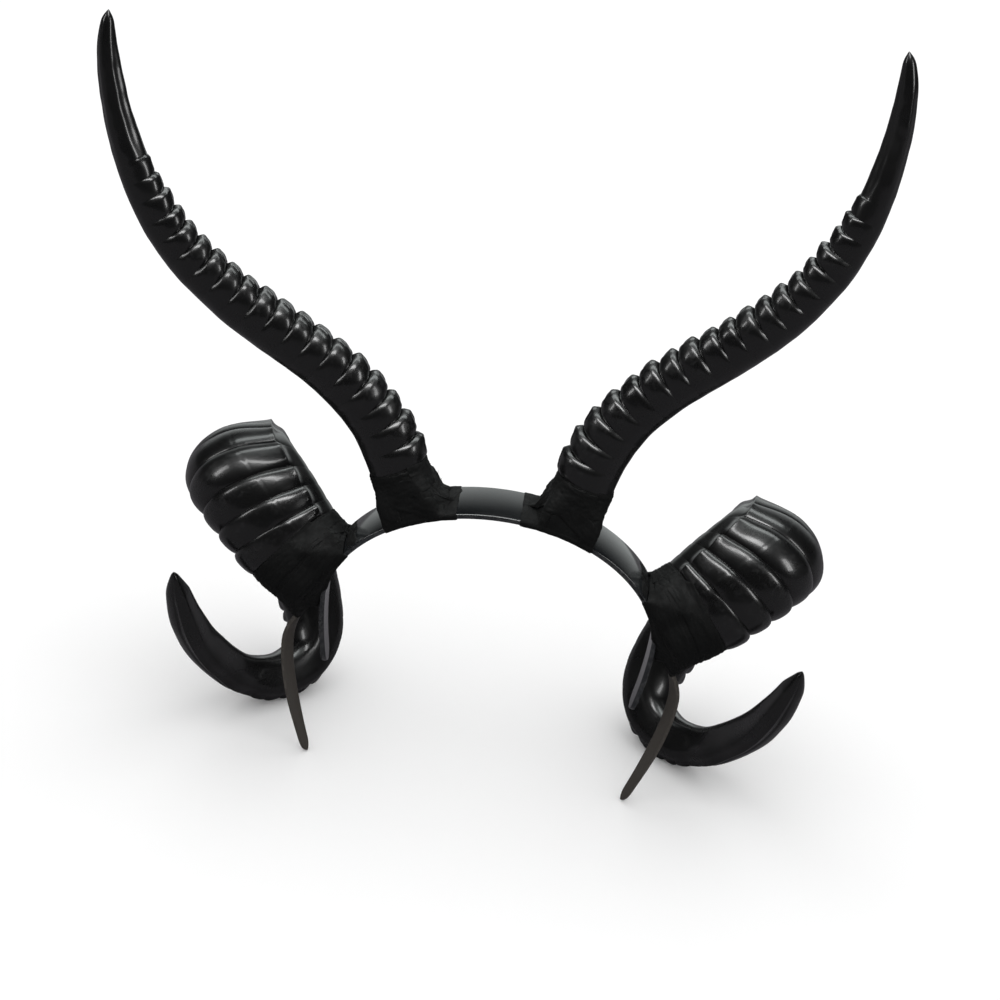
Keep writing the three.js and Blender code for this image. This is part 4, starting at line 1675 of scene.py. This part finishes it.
@dataclass(frozen=True)
class Studio:
    """The floor, the lights and the camera."""

    pose: RestPose
    crown: float = 0.8
    elevation: float = 30.0
    roll: float = 9.0
    distance: float = 1.0
    focal_share: float = 2.24215
    sensor: float = 36.0
    shift_x: float = -0.007
    shift_y: float = 0.002
    room_strength: float = 1.12
    floor_colour: tuple[float, float, float] = (0.98, 0.98, 0.98)
    floor_mirrored: tuple[float, float, float] = (0.15, 0.145, 0.155)

    def camera(self) -> None:
        """Looks at the top of the band from the front and above, rolled to one side."""
        target = Vector(self.pose.place(np.array([0, 0, self.crown])))
        e = math.radians(self.elevation) - math.asin(self.pose.turn[2][1])
        r = math.radians(self.roll)
        back = Vector((0, -math.cos(e), math.sin(e)))
        right, up = Vector((1, 0, 0)), Vector((0, math.sin(e), math.cos(e)))
        own_right = right * math.cos(r) + up * math.sin(r)
        own_up = up * math.cos(r) - right * math.sin(r)
        data = bpy.data.cameras.new("camera")
        data.sensor_width = self.sensor
        data.lens = self.focal_share * self.sensor
        data.shift_x, data.shift_y = self.shift_x, self.shift_y
        camera = bpy.data.objects.new("camera", data)
        turn = Matrix((own_right, own_up, back)).transposed()
        camera.matrix_world = Matrix.Translation(target + back * self.distance) @ turn.to_4x4()
        bpy.context.scene.collection.objects.link(camera)
        bpy.context.scene.camera = camera

    def softbox(self, name: str, place: tuple, size: tuple, power: float, tint: tuple) -> None:
        """Hangs a soft light that faces the head band."""
        data = bpy.data.lights.new(name, "AREA")
        data.shape = "RECTANGLE"
        data.size, data.size_y = size
        data.energy = power
        data.color = tint
        light = bpy.data.objects.new(name, data)
        light.location = place
        aim = Vector((0, 0, 0.17)) - light.location
        light.rotation_euler = aim.to_track_quat("-Z", "Y").to_euler()
        light.visible_diffuse = False
        bpy.context.scene.collection.objects.link(light)

    def lights(self) -> None:
        """Hangs the lights and lights the room evenly."""
        white, cool = (1.0, 1.0, 1.0), (0.95, 1.0, 0.99)
        self.softbox("key_softbox", (-0.1, -0.35, 1.3), (1.1, 0.3), 15.0, white)
        self.softbox("top_softbox", (0.0, 0.42, 1.3), (1.8, 0.3), 9.0, cool)
        self.softbox("left_softbox", (-1.1, -0.4, 0.85), (0.2, 0.6), 3.4, white)
        self.softbox("right_softbox", (1.1, -0.5, 0.75), (0.25, 0.6), 4.4, white)
        world = bpy.data.worlds.new("studio_room")
        world.use_nodes = True
        bpy.context.scene.world = world
        kit = NodeKit(world.node_tree)
        background = world.node_tree.nodes["Background"]
        mirrored = kit.add("ShaderNodeLightPath").outputs["Is Glossy Ray"]
        kit.join(kit.colours(mirrored, white, cool), background.inputs["Color"])
        direction = kit.add("ShaderNodeSeparateXYZ")
        kit.join(kit.add("ShaderNodeTexCoord").outputs["Generated"], direction.inputs[0])
        behind = kit.ramp(direction.outputs["Y"], (0.66, 0.97), (0.012, 0.95))
        above = kit.ramp(direction.outputs["Z"], (0.75, 1.0), (0.0, 0.6))
        mix = kit.add("ShaderNodeMix", data_type="FLOAT")
        mix.inputs[2].default_value = self.room_strength
        kit.join(mirrored, mix.inputs[0])
        kit.join(kit.maths("ADD", behind, above), mix.inputs[3])
        kit.join(mix.outputs[0], background.inputs["Strength"])

    def floor(self) -> None:
        """Lays a plain pale floor that looks darker in reflections."""
        corners = 6.0 * np.array([[-1, -1, 0], [1, -1, 0], [1, 1, 0], [-1, 1, 0]])
        material, kit, shader = start_material("floor_pale")
        shader.inputs["Roughness"].default_value = 0.9
        shader.inputs["Specular IOR Level"].default_value = 0.1
        mirrored = kit.add("ShaderNodeLightPath").outputs["Is Glossy Ray"]
        colour = kit.colours(mirrored, self.floor_colour, self.floor_mirrored)
        kit.join(colour, shader.inputs["Base Color"])
        floor = add_object("floor", corners, [(0, 1, 2, 3)], material)

    def build(self) -> None:
        """Sets up the whole studio."""
        self.camera()
        self.lights()
        self.floor()
        view = bpy.context.scene.view_settings
        view.view_transform = "Standard"
        view.look = "None"


def band_place(band: BandForm, q: float) -> tuple[Array, Array]:
    """Gives the band's middle at q and the direction along it."""
    step = 1e-3
    return band.point(q), unit(band.point(q + step) - band.point(q - step))


def tall_turns(band: BandForm, horn: TallHorn) -> tuple[Turn, ...]:
    """Plans the tape round a tall horn's root: two turns on the band, three on the horn."""
    sign = horn.side.value
    seat, along = band_place(band, band.at_x(sign * horn.spread - horn.shift))
    inner = -sign * along
    up = horn.spine().at(np.array([7.0])).tangent[0]
    slant = -0.36 if horn.side is Side.LEFT else -0.06
    return (
        Turn(seat + inner * 14.5, along + BACK * slant, width=9.5, start=40, lift=0.1),
        Turn(seat - inner * 9.0, along + BACK * 0.08, width=8.5, start=80, lift=0.1),
        Turn(seat + up * 8, up + along * 0.5, width=9, start=200, lift=0.2, advance=2),
        Turn(seat + up * 12, up - along * 0.2 + BACK * 0.1, width=9, start=20, lift=0.25),
        Turn(seat + up * 18.2, up, width=7.5, start=120, lift=0.2, advance=-1.5),
    )


def ram_turns(band: BandForm, horn: RamHorn) -> tuple[Turn, ...]:
    """Plans the tape round a ram horn's root: one turn on the band, three on the horn."""
    root = horn.spine().at(np.array([4.0, 10.0, 15.8]))
    seat, along = band_place(band, band.at_drop(29.0, horn.side))
    leaning = root.tangent[1] + BACK * 0.25
    return (
        Turn(seat, along + BACK * 0.12, width=5.5, start=30, lift=0.15, ragged=0.9),
        Turn(root.centre[0], root.tangent[0], width=10, lift=0.12, advance=3),
        Turn(root.centre[1], leaning, width=9, lift=0.2, advance=-2),
        Turn(root.centre[2], root.tangent[2], width=9.5, lift=0.22, advance=-2),
    )


def finishes() -> tuple[bpy.types.Material, ...]:
    """Makes the finishes of the horns, the band, the arms and the tape."""
    groups = GroupMaker()
    horn_black = MouldedPlastic(
        name="horn_gloss_black",
        colour=(0.003, 0.003, 0.0032),
        rubbed=(0.006, 0.006, 0.0065),
        gloss_from=0.26,
        gloss_to=0.31,
        coat=0.35,
        coat_roughness=0.1,
        specular=0.42,
        relief_mm=0.09,
        ripples=110.0,
    )
    band_black = MouldedPlastic(
        name="band_gloss_black",
        colour=(0.005, 0.006, 0.007),
        rubbed=(0.02, 0.021, 0.022),
        gloss_from=0.1,
        gloss_to=0.2,
        coat=0.5,
        coat_roughness=0.05,
        specular=0.5,
        relief_mm=0.05,
        ripples=60.0,
    )
    arm_brown = MouldedPlastic(
        name="arm_satin_brown",
        colour=(0.034, 0.029, 0.024),
        rubbed=(0.05, 0.044, 0.038),
        gloss_from=0.45,
        gloss_to=0.6,
        coat=0.05,
        coat_roughness=0.3,
        specular=0.4,
        relief_mm=0.05,
        ripples=200.0,
    )
    return tuple(look.build(groups) for look in (horn_black, band_black, arm_brown, ClothTape()))


def main() -> None:
    """Builds the studio and every piece."""
    logging.basicConfig(level=logging.INFO, format="%(message)s")
    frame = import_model()
    band, arm = BandForm(), ArmForm()
    facet = 0.97 / 41
    inner_top = band.point(facet)[2] - band.thickness / 2 * band.outward(facet)[2]
    pose = RestPose.from_seat(frame["record"]["mounts"][0], float(inner_top))
    Studio(pose).build()
    horn_black, band_black, arm_brown, tape_black = finishes()
    limit = SeatLimit(band, arm)
    dressed_band = HeadBand(band, pose).build(band_black)
    wraps = []
    for side in Side:
        tall, ram = TallHorn(band, limit, side, pose), RamHorn(limit, side, pose)
        dressed_arm = SideArm(arm, band, side, pose).build(arm_brown)
        tall_ground = faces_of((dressed_band, tall.build(horn_black)))
        ram_ground = faces_of((dressed_band, dressed_arm, ram.build(horn_black)))
        for kind, ground, turns, seed in (
            ("tall", tall_ground, tall_turns(band, tall), 40 + side.value),
            ("ram", ram_ground, ram_turns(band, ram), 60 + side.value),
        ):
            node = frame["nodes"][f"{kind}_wrap_{side.word}"]
            wraps.append(TapeWrap(node, pose, f"{kind}_{side.word}", ground, turns, seed))
    for wrap in wraps:
        wrap.build(tape_black)
    bpy.context.view_layer.update()


if __name__ == "__main__":
    main()
